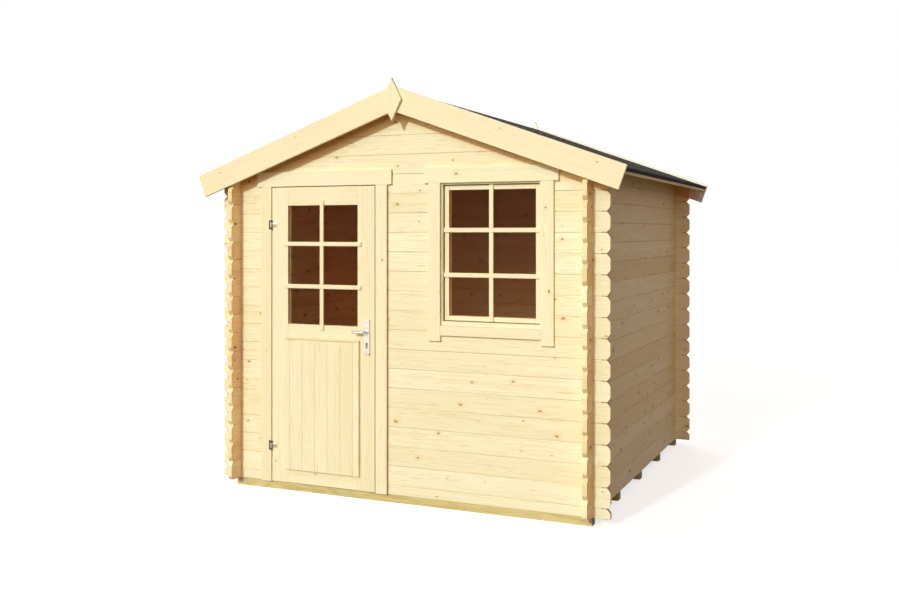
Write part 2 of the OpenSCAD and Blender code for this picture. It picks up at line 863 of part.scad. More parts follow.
bearers_treated();
floor_deck();
left_wall();
right_wall();
back_wall();
back_gable();
front_wall_left();
front_wall_right();
front_wall_over_door();
front_gable();
ridge_purlin();
side_purlins();
roof_boards_left();
roof_boards_right();
felt_left();
felt_right();
felt_ridge();
eave_batten_left();
eave_batten_right();
front_bargeboards();
back_bargeboards();
front_finial();
back_finial();
door_frame();
door_threshold();
door_casings();
door_head_board();
window_frame();
window_sash();
window_glass();
window_casings();
window_head_board();
window_apron();
hinge_pins();
door_stiles();
door_rails();
door_panel();
door_glass();
hinge_plates();
lock_plates();
lock_cylinder();
lever_outer();
lever_inner();
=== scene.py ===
# %% [markdown]
# # A log tool shed
#
# This lesson dresses a small garden shed. Its timber shapes come finished from a
# construction model: wall logs, bearers, roof, frames, a door that swings and a
# lever that turns. Here we light it, give every surface its finish, and make the
# small joinery that a construction model leaves out, such as glazing bars, door
# boards and screws.
#
# We start by loading the model. Nothing that we add may make the shed bigger.

from functools import partial
from math import asin, cos, degrees, pi, radians, sin, tan

import bpy
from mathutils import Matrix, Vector


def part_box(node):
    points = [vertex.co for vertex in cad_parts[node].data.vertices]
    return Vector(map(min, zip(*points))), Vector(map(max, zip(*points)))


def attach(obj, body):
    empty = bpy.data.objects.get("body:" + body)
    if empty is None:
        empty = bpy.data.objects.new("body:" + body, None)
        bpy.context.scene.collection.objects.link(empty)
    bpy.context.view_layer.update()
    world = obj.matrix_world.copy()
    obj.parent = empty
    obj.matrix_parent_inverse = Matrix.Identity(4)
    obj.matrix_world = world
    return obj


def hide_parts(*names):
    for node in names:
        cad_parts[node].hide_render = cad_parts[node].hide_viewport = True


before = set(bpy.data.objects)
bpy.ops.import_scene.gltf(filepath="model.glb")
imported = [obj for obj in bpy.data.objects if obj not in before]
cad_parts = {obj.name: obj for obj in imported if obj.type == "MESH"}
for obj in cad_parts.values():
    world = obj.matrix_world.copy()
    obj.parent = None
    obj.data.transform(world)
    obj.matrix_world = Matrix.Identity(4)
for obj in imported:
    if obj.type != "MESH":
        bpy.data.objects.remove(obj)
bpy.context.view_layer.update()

# %% [markdown]
# ## Where we stand
#
# We look at the front and the right side from eye height. The camera is level,
# so that upright edges stay upright, and a small lens shift brings the shed down
# into the frame.

# %% Camera
EYE = Vector((2.632, -6.425, 1.584))
TURN = radians(23.724)
LENS_MM, LENS_SHIFT = 40.29, -0.0751
QUARTER = radians(90)


def lay_aside():
    """Leave every piece alone, so that a tool can't reach one by mistake."""
    bpy.ops.object.select_all(action="DESELECT")


lay_aside()
bpy.ops.object.camera_add(location=EYE, rotation=(QUARTER, 0, TURN))
camera = bpy.context.object
camera.name = "eye_level_camera"
camera.data.sensor_width = 36
camera.data.lens = LENS_MM
camera.data.shift_y = LENS_SHIFT
bpy.context.scene.camera = camera
print("camera stands", round((EYE - Vector((0, 0, 1.2))).length, 2), "m from the shed")

# %% [markdown]
# ## Daylight
#
# A low sun stands in front of the shed, a little to its left: the front is lit, the
# right side is in shade, and the bargeboards draw their shadows on the gable. A warm
# soft lamp in front is the light that a sunlit yard throws back; a white one behind
# is for whoever walks round the shed. The rest is an even sky. The eye, mirrors and
# glass see it as white, whatever the colour of the light that it gives.

# %% Sun and sky
def daylight(name, come_from, energy, spread, colour):
    """A sun: the wider it is spread, the softer its shadows."""
    lay_aside()
    bpy.ops.object.light_add(type="SUN", location=come_from * 6)
    sun = bpy.context.object
    sun.name = name
    sun.rotation_euler = come_from.to_track_quat("Z", "Y").to_euler()
    sun.data.energy = energy
    sun.data.angle = radians(spread)
    sun.data.color = colour


SUN_FROM = Vector((-0.18, -1.0, 0.42))
daylight("low_sun", SUN_FROM, 1.9, 4.5, (0.82, 0.97, 1.0))
daylight("soft_fill_behind", Vector((-0.7, 0.9, 0.95)), 1.0, 50, (1.0, 1.0, 1.0))
daylight("soft_fill_front", Vector((-0.22, -1.0, 0.32)), 1.45, 60, (1.0, 0.76, 0.60))
bpy.context.scene.view_settings.view_transform = "Standard"
print("sun height:", round(degrees(asin(SUN_FROM.normalized().z)), 1), "degrees")

# %% [markdown]
# ## Wiring a finish
#
# A finish is a sheet of nodes, and so is the sky. These helpers put a node on the
# sheet, feed its inputs with wires or plain values, and do sums. A wire knows its
# sheet, so a sum needs no more than the wires that go into it.

# %% Wiring helpers
def is_wire(source):
    return isinstance(source, bpy.types.NodeSocket)


def join(source, socket):
    """Lead a wire to a socket, or set the socket to a plain value. A colour has no alpha here."""
    if is_wire(source):
        socket.id_data.links.new(source, socket)
    elif socket.type == "RGBA":
        socket.default_value = (*source, 1)
    else:
        socket.default_value = source


def feed(node, **sources):
    """Feed inputs by name; an underscore in a name stands for a space."""
    for name, source in sources.items():
        join(source, node.inputs[name.replace("_", " ")])
    return node


def put(tree, kind, **settings):
    """A new node on the sheet, laid in columns. A name with a capital is an input to feed."""
    column, row = divmod(len(tree.nodes), 6)
    made = tree.nodes.new("ShaderNode" + kind)
    made.location = (220 * column, -260 * row)
    for name, value in settings.items():
        if not name[0].isupper():
            setattr(made, name, value)
    return feed(made, **{name: value for name, value in settings.items() if name[0].isupper()})


def beside(sources, kind, **settings):
    """A new node on the sheet of the first wire among the sources."""
    return put(next(s.id_data for s in sources if is_wire(s)), kind, **settings)


def in_order(node, *sources):
    """Feed inputs from the first one on."""
    for source, socket in zip(sources, node.inputs):
        join(source, socket)
    return node


def reckon(operation, *values, clamp=False):
    """A sum of the values."""
    return in_order(beside(values, "Math", operation=operation, use_clamp=clamp), *values).outputs[0]


times, times_plus, plus, minus, over, without_sign, less, more = (partial(reckon, name) for name in (
    "MULTIPLY", "MULTIPLY_ADD", "ADD", "SUBTRACT", "DIVIDE", "ABSOLUTE", "LESS_THAN", "GREATER_THAN"))


def blend(share, a, b, how="MIX"):
    """Colour a, with its share of b."""
    made = beside((share, a, b), "Mix", data_type="RGBA", blend_type=how, Factor=share, A=a, B=b)
    return made.outputs["Result"]


def tinted(share, colour, tint):
    return blend(share, colour, tint, how="MULTIPLY")


def ramp(value, low, high, to=(0.0, 1.0)):
    """A soft step as the value goes from low to high."""
    made = beside([value], "MapRange", interpolation_type="SMOOTHSTEP", Value=value,
                  From_Min=low, From_Max=high, To_Min=to[0], To_Max=to[1])
    return made.outputs["Result"]


def split(source, kind="XYZ"):
    """The three parts of a place or a colour."""
    return in_order(beside([source], "Separate" + kind), source).outputs


def gather(x, y, z):
    """A place from its three parts."""
    return in_order(beside((x, y, z), "CombineXYZ"), x, y, z).outputs[0]


def seen_directly(tree):
    """1 for what the eye, a mirror or a pane sees, and 0 for light that only falls on things."""
    rays = put(tree, "LightPath").outputs
    eye_or_mirror = plus(rays["Is Camera Ray"], rays["Is Glossy Ray"], clamp=True)
    return plus(eye_or_mirror, rays["Is Transmission Ray"], clamp=True)


def either(tree, share, a, b, end):
    """Lead one shader or the other to the end of the sheet."""
    join(in_order(put(tree, "MixShader"), share, a, b).outputs[0], end)


def count(tree):
    print(tree.name, "has", len(tree.nodes), "nodes")


def empty_sheet(owner):
    owner.use_nodes = True
    owner.node_tree.nodes.clear()
    return owner.node_tree


world = bpy.context.scene.world or bpy.data.worlds.new("sky")
bpy.context.scene.world = world
sky = empty_sheet(world)
glow = put(sky, "Background", Color=(1.0, 0.77, 0.64), Strength=0.32)
white = put(sky, "Background", Color=(1, 1, 1))
either(sky, seen_directly(sky), glow.outputs[0], white.outputs[0], put(sky, "OutputWorld").inputs["Surface"])
count(sky)

# %% [markdown]
# ## The ground
#
# The shed stands on a plain pale floor. Seen directly it is close to white and
# keeps the shed's shadow; for the light that bounces off it onto the walls it is
# a darker grey, so that the shaded side stays in shade.

# %% Ground
lay_aside()
bpy.ops.mesh.primitive_plane_add(size=80, location=(0, 0, 0))
ground = bpy.context.object
ground.name = "ground"
paving = bpy.data.materials.new("pale_ground")
tree = empty_sheet(paving)
dull = put(tree, "BsdfDiffuse", Color=(0.18, 0.10, 0.055))
pale = put(tree, "BsdfDiffuse", Color=(0.55, 0.55, 0.55))
lift = put(tree, "Emission", Strength=0.72)
both = in_order(put(tree, "AddShader"), pale.outputs[0], lift.outputs[0])
either(tree, seen_directly(tree), dull.outputs[0], both.outputs[0],
       put(tree, "OutputMaterial").inputs["Surface"])
ground.data.materials.append(paving)
print("ground is", round(ground.dimensions.x), "m across")

# %% [markdown]
# ## How a board is sawn
#
# Grain is not printed on a board: it is where the saw cut through the rings of a
# trunk. So this group numbers the boards of a wall by their height in it, and gives
# each number its own tone and its own place in a trunk: how far behind the face and
# how far aside the heart lies, and where along the trunk the board starts.

# %% Sawn board group
LOG = 0.114
HEART_BEHIND, HEART_VARIES, HEART_ASIDE = 0.022, 0.06, 0.13
TRUNK_LONG, CHEEK_SQUEEZE = 23.0, 0.65


def new_group(name, **takes):
    """A group's sheet and what comes into it: a starting number or colour, or a kind of socket."""
    tree = bpy.data.node_groups.new(name, "ShaderNodeTree")
    for label, start in takes.items():
        kind = start if isinstance(start, str) else "Color" if isinstance(start, tuple) else "Float"
        socket = tree.interface.new_socket(label.replace("_", " "), in_out="INPUT",
                                           socket_type="NodeSocket" + kind)
        if start != kind:
            socket.default_value = (*start, 1) if kind == "Color" else start
    return tree, tree.nodes.new("NodeGroupInput").outputs


def give_out(tree, **wires):
    """End a group with an output for each wire, of the wire's own kind."""
    for name, wire in wires.items():
        kind = {"VALUE": "Float", "VECTOR": "Vector", "RGBA": "Color"}[wire.type]
        tree.interface.new_socket(name.replace("_", " "), in_out="OUTPUT", socket_type="NodeSocket" + kind)
    last = tree.nodes.new("NodeGroupOutput")
    last.location = (220 * len(tree.nodes) // 6 + 220, 0)
    feed(last, **wires)
    count(tree)


sawn, ins = new_group("Sawn board", Place="Vector", Width=LOG, First_edge=0.0, Face=0.0, Seed=0.0)
axes = split(ins["Place"])
boards = over(minus(axes["Z"], ins["First edge"]), ins["Width"])
dice = put(sawn, "TexWhiteNoise", noise_dimensions="1D", W=plus(reckon("FLOOR", boards), ins["Seed"]))
thrown = split(dice.outputs["Color"], "Color")
slide = times_plus(thrown["Red"], TRUNK_LONG, axes["X"])
depth = plus(minus(axes["Y"], ins["Face"]), HEART_BEHIND)
heart = times_plus(thrown["Green"], HEART_VARIES, depth)
middle = minus(reckon("FRACT", boards), 0.5)
side = times(middle, ins["Width"])
heart_side = times_plus(minus(thrown["Blue"], 0.5), HEART_ASIDE, side)
to_edge = minus(0.5, without_sign(middle))
give_out(sawn, Trunk=gather(slide, heart, heart_side), Tone=thrown["Green"],
         Cheek=gather(times(slide, CHEEK_SQUEEZE), axes["Z"], 0.0), To_edge=times(to_edge, ins["Width"]))

# %% [markdown]
# ## Knots
#
# A knot is where a branch grew out of the trunk, so it goes right through the
# board and shows as a small brown oval with a dark rim. The group spreads points
# over the face, makes a knot of some of them, each of its own size, and also
# says how far each knot pushes the rings aside, which the grain needs.

# %% Knots group
RAGGED_RIM, SMALLEST = 0.006, 0.25
OUTER, INNER, REACH = 1.15, 0.7, 4.5

knots, ins = new_group("Knots", Cheek="Vector", Spacing=0.25, Size=0.011, Share=0.4)
rough = put(knots, "TexNoise", noise_dimensions="2D", Vector=ins["Cheek"], Scale=90.0, Detail=1.0)
spread = put(knots, "TexVoronoi", voronoi_dimensions="2D", feature="F1", Vector=ins["Cheek"],
             Scale=over(1.0, ins["Spacing"]))
from_middle = times(spread.outputs["Distance"], ins["Spacing"])
uneven = minus(rough.outputs["Fac"], 0.5)
away = times_plus(uneven, RAGGED_RIM, from_middle)
drawn = split(spread.outputs["Color"], "Color")
kept = less(drawn["Red"], ins["Share"])
scaled = times_plus(drawn["Green"], 1 - SMALLEST, SMALLEST)
radius = times(scaled, ins["Size"])
inner = times(radius, INNER)
solid = ramp(away, inner, times(radius, OUTER), to=(1.0, 0.0))
rim = times(ramp(away, inner, radius), solid)
close_by = ramp(away, 0.0, times(radius, REACH), to=(1.0, 0.0))
push = times(close_by, radius)
give_out(knots, Knot=times(solid, kept), Rim=times(rim, kept), Push=times(push, kept))

# %% [markdown]
# ## Rings and fibre
#
# Across the trunk the wood goes from pale spring wood to a thin, darker line each
# year. The rings wander a little along the trunk, which draws long flames on a
# board sawn near the heart and straight lines on one sawn further out. Over them
# lie long warm streaks and short dark flecks of resin, and finer than all of them
# is the fibre: hair-thin lines along the board.

# %% Grain group
def stretched_noise(vector, scale, detail):
    """Clouds whose size is set for each axis."""
    drawn_out = beside([vector], "Mapping", Vector=vector, Scale=scale).outputs[0]
    return beside([vector], "TexNoise", Vector=drawn_out, Scale=1.0, Detail=detail).outputs


def along_and_across(vector, operation, *others):
    """A sum done to all three parts of a place."""
    return in_order(beside([vector], "VectorMath", operation=operation), vector, *others).outputs


grain, ins = new_group("Pine grain", Trunk="Vector", Push=0.0, Ring_width=0.005)
drift = stretched_noise(ins["Trunk"], (1.1, 5.0, 5.0), 2.5)["Color"]
centred = along_and_across(drift, "SUBTRACT", (0.5, 0.5, 0.5))[0]
wander = along_and_across(centred, "MULTIPLY_ADD", (0.0, 0.075, 0.05), ins["Trunk"])[0]
flat = along_and_across(wander, "MULTIPLY", (0.0, 1.0, 1.0))[0]
span = along_and_across(flat, "LENGTH")["Value"]
years = over(plus(span, ins["Push"]), ins["Ring width"])
season = reckon("FRACT", years)
line = times(ramp(season, 0.25, 0.93), ramp(season, 0.95, 1.0, to=(1.0, 0.0)))
weather = put(grain, "TexWhiteNoise", noise_dimensions="1D", W=reckon("FLOOR", years))
late = times(line, ramp(weather.outputs["Value"], 0.0, 1.0, to=(0.25, 1.0)))
streak = stretched_noise(ins["Trunk"], (2.6, 75.0, 75.0), 3.0)["Fac"]
fleck = stretched_noise(ins["Trunk"], (7.0, 150.0, 150.0), 2.0)["Fac"]
fibre = stretched_noise(ins["Trunk"], (14.0, 700.0, 700.0), 2.0)["Fac"]
give_out(grain, Late_wood=late, Streaks=ramp(streak, 0.52, 0.72), Flecks=ramp(fleck, 0.60, 0.72), Fibre=fibre,
         Height=times_plus(late, 0.6, fibre))

# %% [markdown]
# ## Planed pine
#
# Now the three groups come together as a planed board: pale early wood, tan late
# wood, thin warm streaks, brown knots with dark rims, and a tone that changes a
# little from board to board. Two boards can meet in a dark joint line, and the end of
# a board has a tint of its own. In the room the colour takes painted shade: deeper and
# redder, as pine looks where it only sees its own glow, and darker higher up. Each
# timber material sets its own board width and its own wood in the group.

# %% Planed pine group
JOINT_DIRT, RIM_DARK = (0.42, 0.20, 0.07), (0.05, 0.02, 0.01)
# Painted room shade: inside the room the wood is made deeper and redder, darker higher up.
ROOM_SHADE_LOW, ROOM_SHADE_HIGH = (1.0, 0.66, 0.44), (0.74, 0.38, 0.17)

pine, ins = new_group(
    "Planed pine", Place="Vector", End=0.0, Width=LOG, First_edge=0.0, Face=0.0, Seed=0.0, Ring_width=0.006,
    Knot_spacing=0.25, Knot_size=0.008, Knot_share=0.4, Grain=0.27, Tone_range=0.07, Joint=0.0, Fleck=0.6,
    Room=0.0, Early_wood=(0.92, 0.86, 0.575), Late_wood=(0.78, 0.56, 0.23), Knot_colour=(0.30, 0.21, 0.07),
    End_colour=(1.0, 0.96, 0.90), Room_colour=ROOM_SHADE_LOW)


def use_group(tree, group, **given):
    """Place a group on a sheet with its inputs fed; gives its outputs."""
    return put(tree, "Group", node_tree=group, **given).outputs


board = use_group(pine, sawn, **{
    name: ins[name.replace("_", " ")] for name in ("Place", "Width", "First_edge", "Face", "Seed")})
spots = use_group(pine, knots, Cheek=board["Cheek"], Spacing=ins["Knot spacing"], Size=ins["Knot size"],
                  Share=ins["Knot share"])
rings = use_group(pine, grain, Trunk=board["Trunk"], Push=spots["Push"], Ring_width=ins["Ring width"])
colour = ins["Early wood"]
for mark, much in (("Late wood", "Grain"), ("Streaks", "Grain"), ("Flecks", "Fleck")):
    colour = blend(times(rings[mark], ins[much]), colour, ins["Late wood"])

cloud = stretched_noise(board["Trunk"], (1.6, 9.0, 9.0), 1.0)["Fac"]
uneven = minus(plus(board["Tone"], cloud), 1.0)
uneven = times(uneven, ins["Tone range"])
fine = times(minus(rings["Fibre"], 0.5), 0.10)
tone = plus(plus(uneven, fine), 1.0)
tint = put(pine, "CombineColor", Red=reckon("POWER", tone, 0.6), Green=tone, Blue=reckon("POWER", tone, 1.8))
colour = tinted(1.0, colour, tint.outputs[0])

halo = times(over(spots["Push"], ins["Knot size"]), 0.5, clamp=True)
colour = blend(halo, colour, ins["Late wood"])
knot = times(spots["Knot"], minus(1.0, ins["End"]))
colour = blend(knot, colour, ins["Knot colour"])
colour = blend(times(spots["Rim"], knot), colour, tinted(0.5, ins["Knot colour"], RIM_DARK))
colour = tinted(ins["End"], colour, ins["End colour"])
in_joint = less(board["To edge"], ins["Joint"])
in_joint = times(in_joint, ramp(cloud, 0.35, 0.65, to=(0.0, 0.55)))
colour = blend(in_joint, colour, JOINT_DIRT)
colour = blend(ins["Room"], colour, tinted(1.0, colour, ins["Room colour"]))
give_out(pine, Colour=colour, Roughness=ramp(rings["Late wood"], 0.0, 1.0, to=(0.62, 0.5)),
         Height=times_plus(knot, -0.5, rings["Height"]))

# %% [markdown]
# ## Which way the wood lies
#
# The group wants its place as (along the grain, into the board, across it). One
# helper turns the object's own axes round for it and makes a whole timber material.
# It also finds the ends of the boards, where the surface faces along the grain. A
# small group finds what lies inside the room: less than half a room away from the
# middle, both across and along.

# %% Timber material maker
HALF_ROOM = 1.1262
END_STARTS, END_FULL = 0.6, 0.95

room, ins = new_group("In the room", Place="Vector", Half_room=HALF_ROOM)
sides = split(along_and_across(ins["Place"], "ABSOLUTE")[0])
furthest = reckon("MAXIMUM", sides["X"], sides["Y"])
give_out(room, Inside=less(furthest, ins["Half room"]), High_up=ramp(sides["Z"], 0.75, 1.85))


def finish_of(name):
    """A new material: the material itself, its sheet and its shader."""
    made = bpy.data.materials.new(name)
    made.use_nodes = True
    return made, made.node_tree, made.node_tree.nodes["Principled BSDF"]


def emboss(shader, height, strength, distance, **settings):
    """Let a height stand up from the surface, by this many metres."""
    bump = put(shader.id_data, "Bump", Height=height, Strength=strength, Distance=distance, **settings)
    feed(shader, Normal=bump.outputs[0])


def turned(parts, order):
    """The three parts of a place, in another order."""
    return gather(*(parts[axis] for axis in order))


def timber(name, order, half_room=HALF_ROOM, laid=None, bears=None, **wood):
    """A timber material. Order is the axes (along, into, across) as letters.

    Laid turns the wood's place first, and bears changes its colour last. What
    else is given goes to the planed pine group.
    """
    made, tree, shader = finish_of(name)
    here = put(tree, "TexCoord").outputs
    place, facing = (split(laid(here[s]) if laid else here[s]) for s in ("Object", "Normal"))
    indoors = use_group(tree, room, Place=here["Object"], Half_room=half_room)
    # Inside the room the colour takes painted shade, darker higher up.
    if "Room_colour" not in wood:
        wood["Room_colour"] = blend(indoors["High up"], ROOM_SHADE_LOW, ROOM_SHADE_HIGH)
    end = ramp(without_sign(facing[order[0]]), END_STARTS, END_FULL)
    planed = use_group(tree, pine, Place=turned(place, order), End=end, Room=indoors["Inside"], **wood)
    colour = planed["Colour"]
    if bears:
        colour = bears(colour, turned(place, order), turned(facing, order))
    feed(shader, Base_Color=colour, Roughness=planed["Roughness"], Specular_IOR_Level=0.35)
    emboss(shader, planed["Height"], 0.35, 0.0006)
    return made


def dress(material, *names):
    """Give CAD nodes a finish."""
    for name in names:
        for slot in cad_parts[name].material_slots:
            slot.material = material


# %% [markdown]
# ## The log walls
#
# The logs are 114 mm high. The front and back walls start with half a log, so that
# the corners can cross. Each wall gets its own seed, so no two show the same knots,
# and sawmills keep the knottier boards for the sides. The side walls' wood is warmer
# and more orange than the front's: a painted shade tone for the shaded side. Their
# end grain is made a little paler and less orange. The slanted saw cuts of the front
# and back logs' noses get painted shade. A side log's short shoulder past the front
# crossing gets a painted warm glow on its cheeks. Each gable gets painted shade behind
# the bargeboards and a painted warm shadow tone in the strip below them. Right under
# the eaves the side walls get a band of painted shade.

# %% Wall finishes
GROUND_GAP = 0.045
NEAR_FACE, FAR_FACE = -1.15, 1.122
FRONTS = dict(Width=LOG, First_edge=GROUND_GAP - LOG / 2, Knot_share=0.65, Knot_spacing=0.16,
              Knot_size=0.0078, Joint=0.0013, Tone_range=0.09, Knot_colour=(0.48, 0.33, 0.12),
              Early_wood=(0.918, 0.866, 0.592))
# The side walls' warmer, more orange wood is a painted shade tone for the shaded side; their end grain is
# made a little paler.
SIDES = dict(Width=LOG, First_edge=GROUND_GAP, Knot_share=0.85, Knot_spacing=0.15, Knot_size=0.0105,
             Joint=0.0018, Tone_range=0.24, Grain=0.5, Fleck=0.8, Early_wood=(0.93, 0.80, 0.49),
             End_colour=(1.0, 1.06, 1.04))
# Painted light on the logs: shade on the nose cuts and behind the bargeboards, a warm shadow tone below them,
# a warm glow on the side logs' front cheeks, and shade under the eaves.
FRONT_MARKS = dict(Cut_tint=(0.55, 0.46, 0.29), Behind_boards=(0.815, 0.64, 0.52),
                   Below_boards=(1.06, 0.88, 0.70))
SIDE_MARKS = dict(Cheek_tint=(1.18, 1.0, 0.98), Eave_tint=(0.52, 0.46, 0.22))
PITCH = radians(19.8)
BARGE_EDGE = min(v.co.z + abs(v.co.x) * tan(PITCH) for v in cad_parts["front_bargeboards"].data.vertices)
NOSE_CUTS, SHOULDER = 1.2, 1.151
EAVE_SHADE_BAND = (1.79, 1.935)

marks, ins = new_group("Log marks", Colour="Color", Place="Vector", Facing="Vector", **dict.fromkeys(
    ("Cut_tint", "Cheek_tint", "Behind_boards", "Below_boards", "Eave_tint"), (1, 1, 1)))
spot, way = split(ins["Place"]), split(ins["Facing"])
past = without_sign(spot["X"])
steep = without_sign(way["Z"])
# Painted shade on the slanted saw cuts of the noses.
slanted = times(ramp(steep, 0.35, 0.6), ramp(steep, 0.85, 0.95, to=(1.0, 0.0)))
cut = times(slanted, more(past, NOSE_CUTS))
colour = tinted(cut, ins["Colour"], ins["Cut tint"])
# Painted warm glow on the cheeks of the side logs' front shoulders, as if lit by the sunlit front logs.
in_front = less(spot["X"], -SHOULDER)
cheek = more(without_sign(way["Y"]), 0.9)
colour = tinted(times(in_front, cheek), colour, ins["Cheek tint"])
# Painted shade on the gable top behind the bargeboards, and a painted warm shadow tone in the strip below
# them.
under_roof = times_plus(past, tan(PITCH), spot["Z"])
for low, high, tint in ((-0.014, 0.008, "Behind boards"), (-0.075, -0.018, "Below boards")):
    colour = tinted(ramp(under_roof, BARGE_EDGE + low, BARGE_EDGE + high), colour, ins[tint])
# Painted shade in a band under the eaves.
under_eave = times(ramp(spot["Z"], *EAVE_SHADE_BAND), less(past, SHOULDER))
give_out(marks, Colour=tinted(under_eave, colour, ins["Eave tint"]))


def logs(name, order, tints, **wood):
    """A log wall's timber with the painted shade and glow that its ends and its top bear."""
    def marked(colour, place, facing):
        return use_group(colour.id_data, marks, Colour=colour, Place=place, Facing=facing, **tints)["Colour"]

    return timber(name, order, bears=marked, **wood)


for name, order, tints, wood, face, seed, walls in (
    ("front_logs", "XYZ", FRONT_MARKS, FRONTS, NEAR_FACE, 3.0,
     ("front_wall_left", "front_wall_right", "front_wall_over_door", "front_gable")),
    ("back_logs", "XYZ", FRONT_MARKS, FRONTS, FAR_FACE, 83.0, ("back_wall", "back_gable")),
    ("right_logs", "YXZ", SIDE_MARKS, SIDES, FAR_FACE, 163.0, ("right_wall",)),
    ("left_logs", "YXZ", SIDE_MARKS, SIDES, NEAR_FACE, 243.0, ("left_wall",)),
):
    dress(logs(name, order, tints, Face=face, Seed=seed, **wood), *walls)
    print(name, "on", ", ".join(walls))

# %% [markdown]
# ## The trim and the roof timber
#
# Casings, stiles and frames are cut from cleaner wood than the logs, with the grain
# running along each piece. The roof boards and the bargeboards lie on the slope, so
# their place is turned by the roof's pitch first: the distance from the middle is
# taken without its sign, and a Mapping node turns it downhill.

# %% Trim and roof finishes
CLEAN = dict(Width=0.2, Knot_share=0.4, Knot_spacing=0.24, Knot_size=0.006, Grain=0.17, Tone_range=0.06,
             Fleck=0.35, Early_wood=(0.916, 0.848, 0.566))
CASING_FACE, LEAF_FACE = -1.168, -1.164
LEAF_ROOM = 1.0
ROOF_BOARD, FLOOR_BOARD = 0.0975, 0.095


def clean_timber(name, order, first_edge, face, seed, **changes):
    """A finish for planed trim, with what differs from the clean wood."""
    return timber(name, order, First_edge=first_edge, Face=face, Seed=seed, **{**CLEAN, **changes})


def downhill(source):
    """A place or a direction, folded over the ridge and turned to run down the slope."""
    parts, size = split(source), split(along_and_across(source, "ABSOLUTE")[0])
    folded = gather(size["X"], parts["Y"], parts["Z"])
    return beside([source], "Mapping", Rotation=(0, -PITCH, 0), Vector=folded).outputs[0]


upright = clean_timber("upright_trim", "ZYX", -1.02, CASING_FACE, 311.0)
level = clean_timber("level_trim", "XYZ", 0.85, CASING_FACE, 351.0)
leaf_upright = clean_timber("leaf_upright", "ZYX", -1.06, LEAF_FACE, 331.0, half_room=LEAF_ROOM)
leaf_level = clean_timber("leaf_level", "XYZ", 0.9, LEAF_FACE, 371.0, half_room=LEAF_ROOM)
sloped_trim = timber("sloped_trim", "XYZ", laid=downhill, Width=3.0, Face=-1.255, Seed=451.0, Knot_share=0.6,
                     Knot_spacing=0.2, Knot_size=0.007, Grain=0.14, Fleck=0.22, Tone_range=0.06,
                     Early_wood=(0.92, 0.845, 0.56))
dress(sloped_trim, "front_bargeboards", "back_bargeboards")
# The roof boards are darker and more orange than the other pine: painted shade for the soffit under the
# eaves.
dress(timber("roof_deck_shaded", "XZY", laid=downhill, Width=ROOF_BOARD, First_edge=-1.237, Face=2.1, Seed=471.0,
             Knot_share=0.5, Joint=0.002, Early_wood=(0.66, 0.47, 0.23)),
      "roof_boards_left", "roof_boards_right")
dress(timber("lengthwise_timber", "YXZ", Width=0.12, Seed=401.0, Knot_share=0.4,
             Early_wood=(0.72, 0.52, 0.26)),
      "ridge_purlin", "side_purlins", "eave_batten_left", "eave_batten_right")
# Inside the room the floor takes a lighter painted room shade of its own.
dress(timber("floor_boards", "YZX", Width=FLOOR_BOARD, First_edge=-1.2, Face=GROUND_GAP, Seed=431.0,
             Knot_share=0.5, Joint=0.002, Tone_range=0.12, Early_wood=(0.88, 0.72, 0.42),
             Room_colour=(1.0, 0.82, 0.66)), "floor_deck")
dress(upright, "door_stiles", "door_casings", "window_casings", "door_frame", "window_frame", "front_finial",
      "back_finial", "window_sash", "door_panel")
dress(level, "door_rails", "door_head_board", "window_head_board", "window_apron", "door_threshold")
print("trim finishes:", upright.name, level.name, leaf_upright.name, leaf_level.name, sloped_trim.name)

# %% [markdown]
# ## Treated bearers
#
# The bearers that the shed stands on are steeped in a green preservative. On the
# faces it weathers to a dull olive straw; at the ends, where the wood drinks it
# in, it is almost black-green. This is the same pine with other colours.

# %% Treated finish
treated = timber("treated_bearers", "XYZ", Width=0.06, Seed=521.0, Knot_share=0.3, Grain=0.6, Tone_range=0.25,
                 Early_wood=(0.72, 0.62, 0.28), Late_wood=(0.42, 0.36, 0.13), Knot_colour=(0.20, 0.15, 0.05),
                 End_colour=(0.16, 0.17, 0.14))
dress(treated, "bearers_treated")
count(treated.node_tree)

# %% [markdown]
# ## Roofing felt
#
# Mineral felt is a bitumen sheet strewn with crushed slate. The face that lies
# upward shows the grey granules; where the sheet is turned down over an edge and
# where it was cut, the dark bitumen shows. The granules are a fine cell pattern,
# each cell with its own grey, and they stand up a little from the sheet.

# %% Felt finish
GRITS_PER_METRE = 520.0
BITUMEN, DARK_GRIT, PALE_GRIT = (0.022, 0.018, 0.016), (0.014, 0.012, 0.009), (0.062, 0.054, 0.042)

felt, tree, shader = finish_of("mineral_felt")
here = put(tree, "TexCoord").outputs
grit = put(tree, "TexVoronoi", feature="F1", Scale=GRITS_PER_METRE, Vector=here["Object"]).outputs
each = split(grit["Color"], "Color")
patches = put(tree, "TexNoise", Scale=3.5, Detail=4.0, Vector=here["Object"]).outputs
worn = ramp(patches["Fac"], 0.35, 0.7, to=(0.8, 1.1))
mottled = put(tree, "CombineColor", Red=worn, Green=worn, Blue=worn).outputs[0]
stone = tinted(1.0, blend(each["Red"], DARK_GRIT, PALE_GRIT), mottled)
upward = ramp(split(here["Normal"])["Z"], 0.3, 0.7)
feed(shader, Base_Color=blend(upward, BITUMEN, stone), Specular_IOR_Level=0.05,
     Roughness=ramp(each["Green"], 0.0, 1.0, to=(0.75, 0.95)))
emboss(shader, grit["Distance"], 0.5, 0.001, invert=True)
dress(felt, "felt_left", "felt_right", "felt_ridge")
count(tree)

# %% [markdown]
# ## Glass
#
# The panes are thin float glass. A thin sheet hardly bends what is behind it, so
# the index is set low, which keeps the sky's reflection faint too. Light on its
# way from the sun is let straight through the pane, or the room behind would be
# pitch dark.

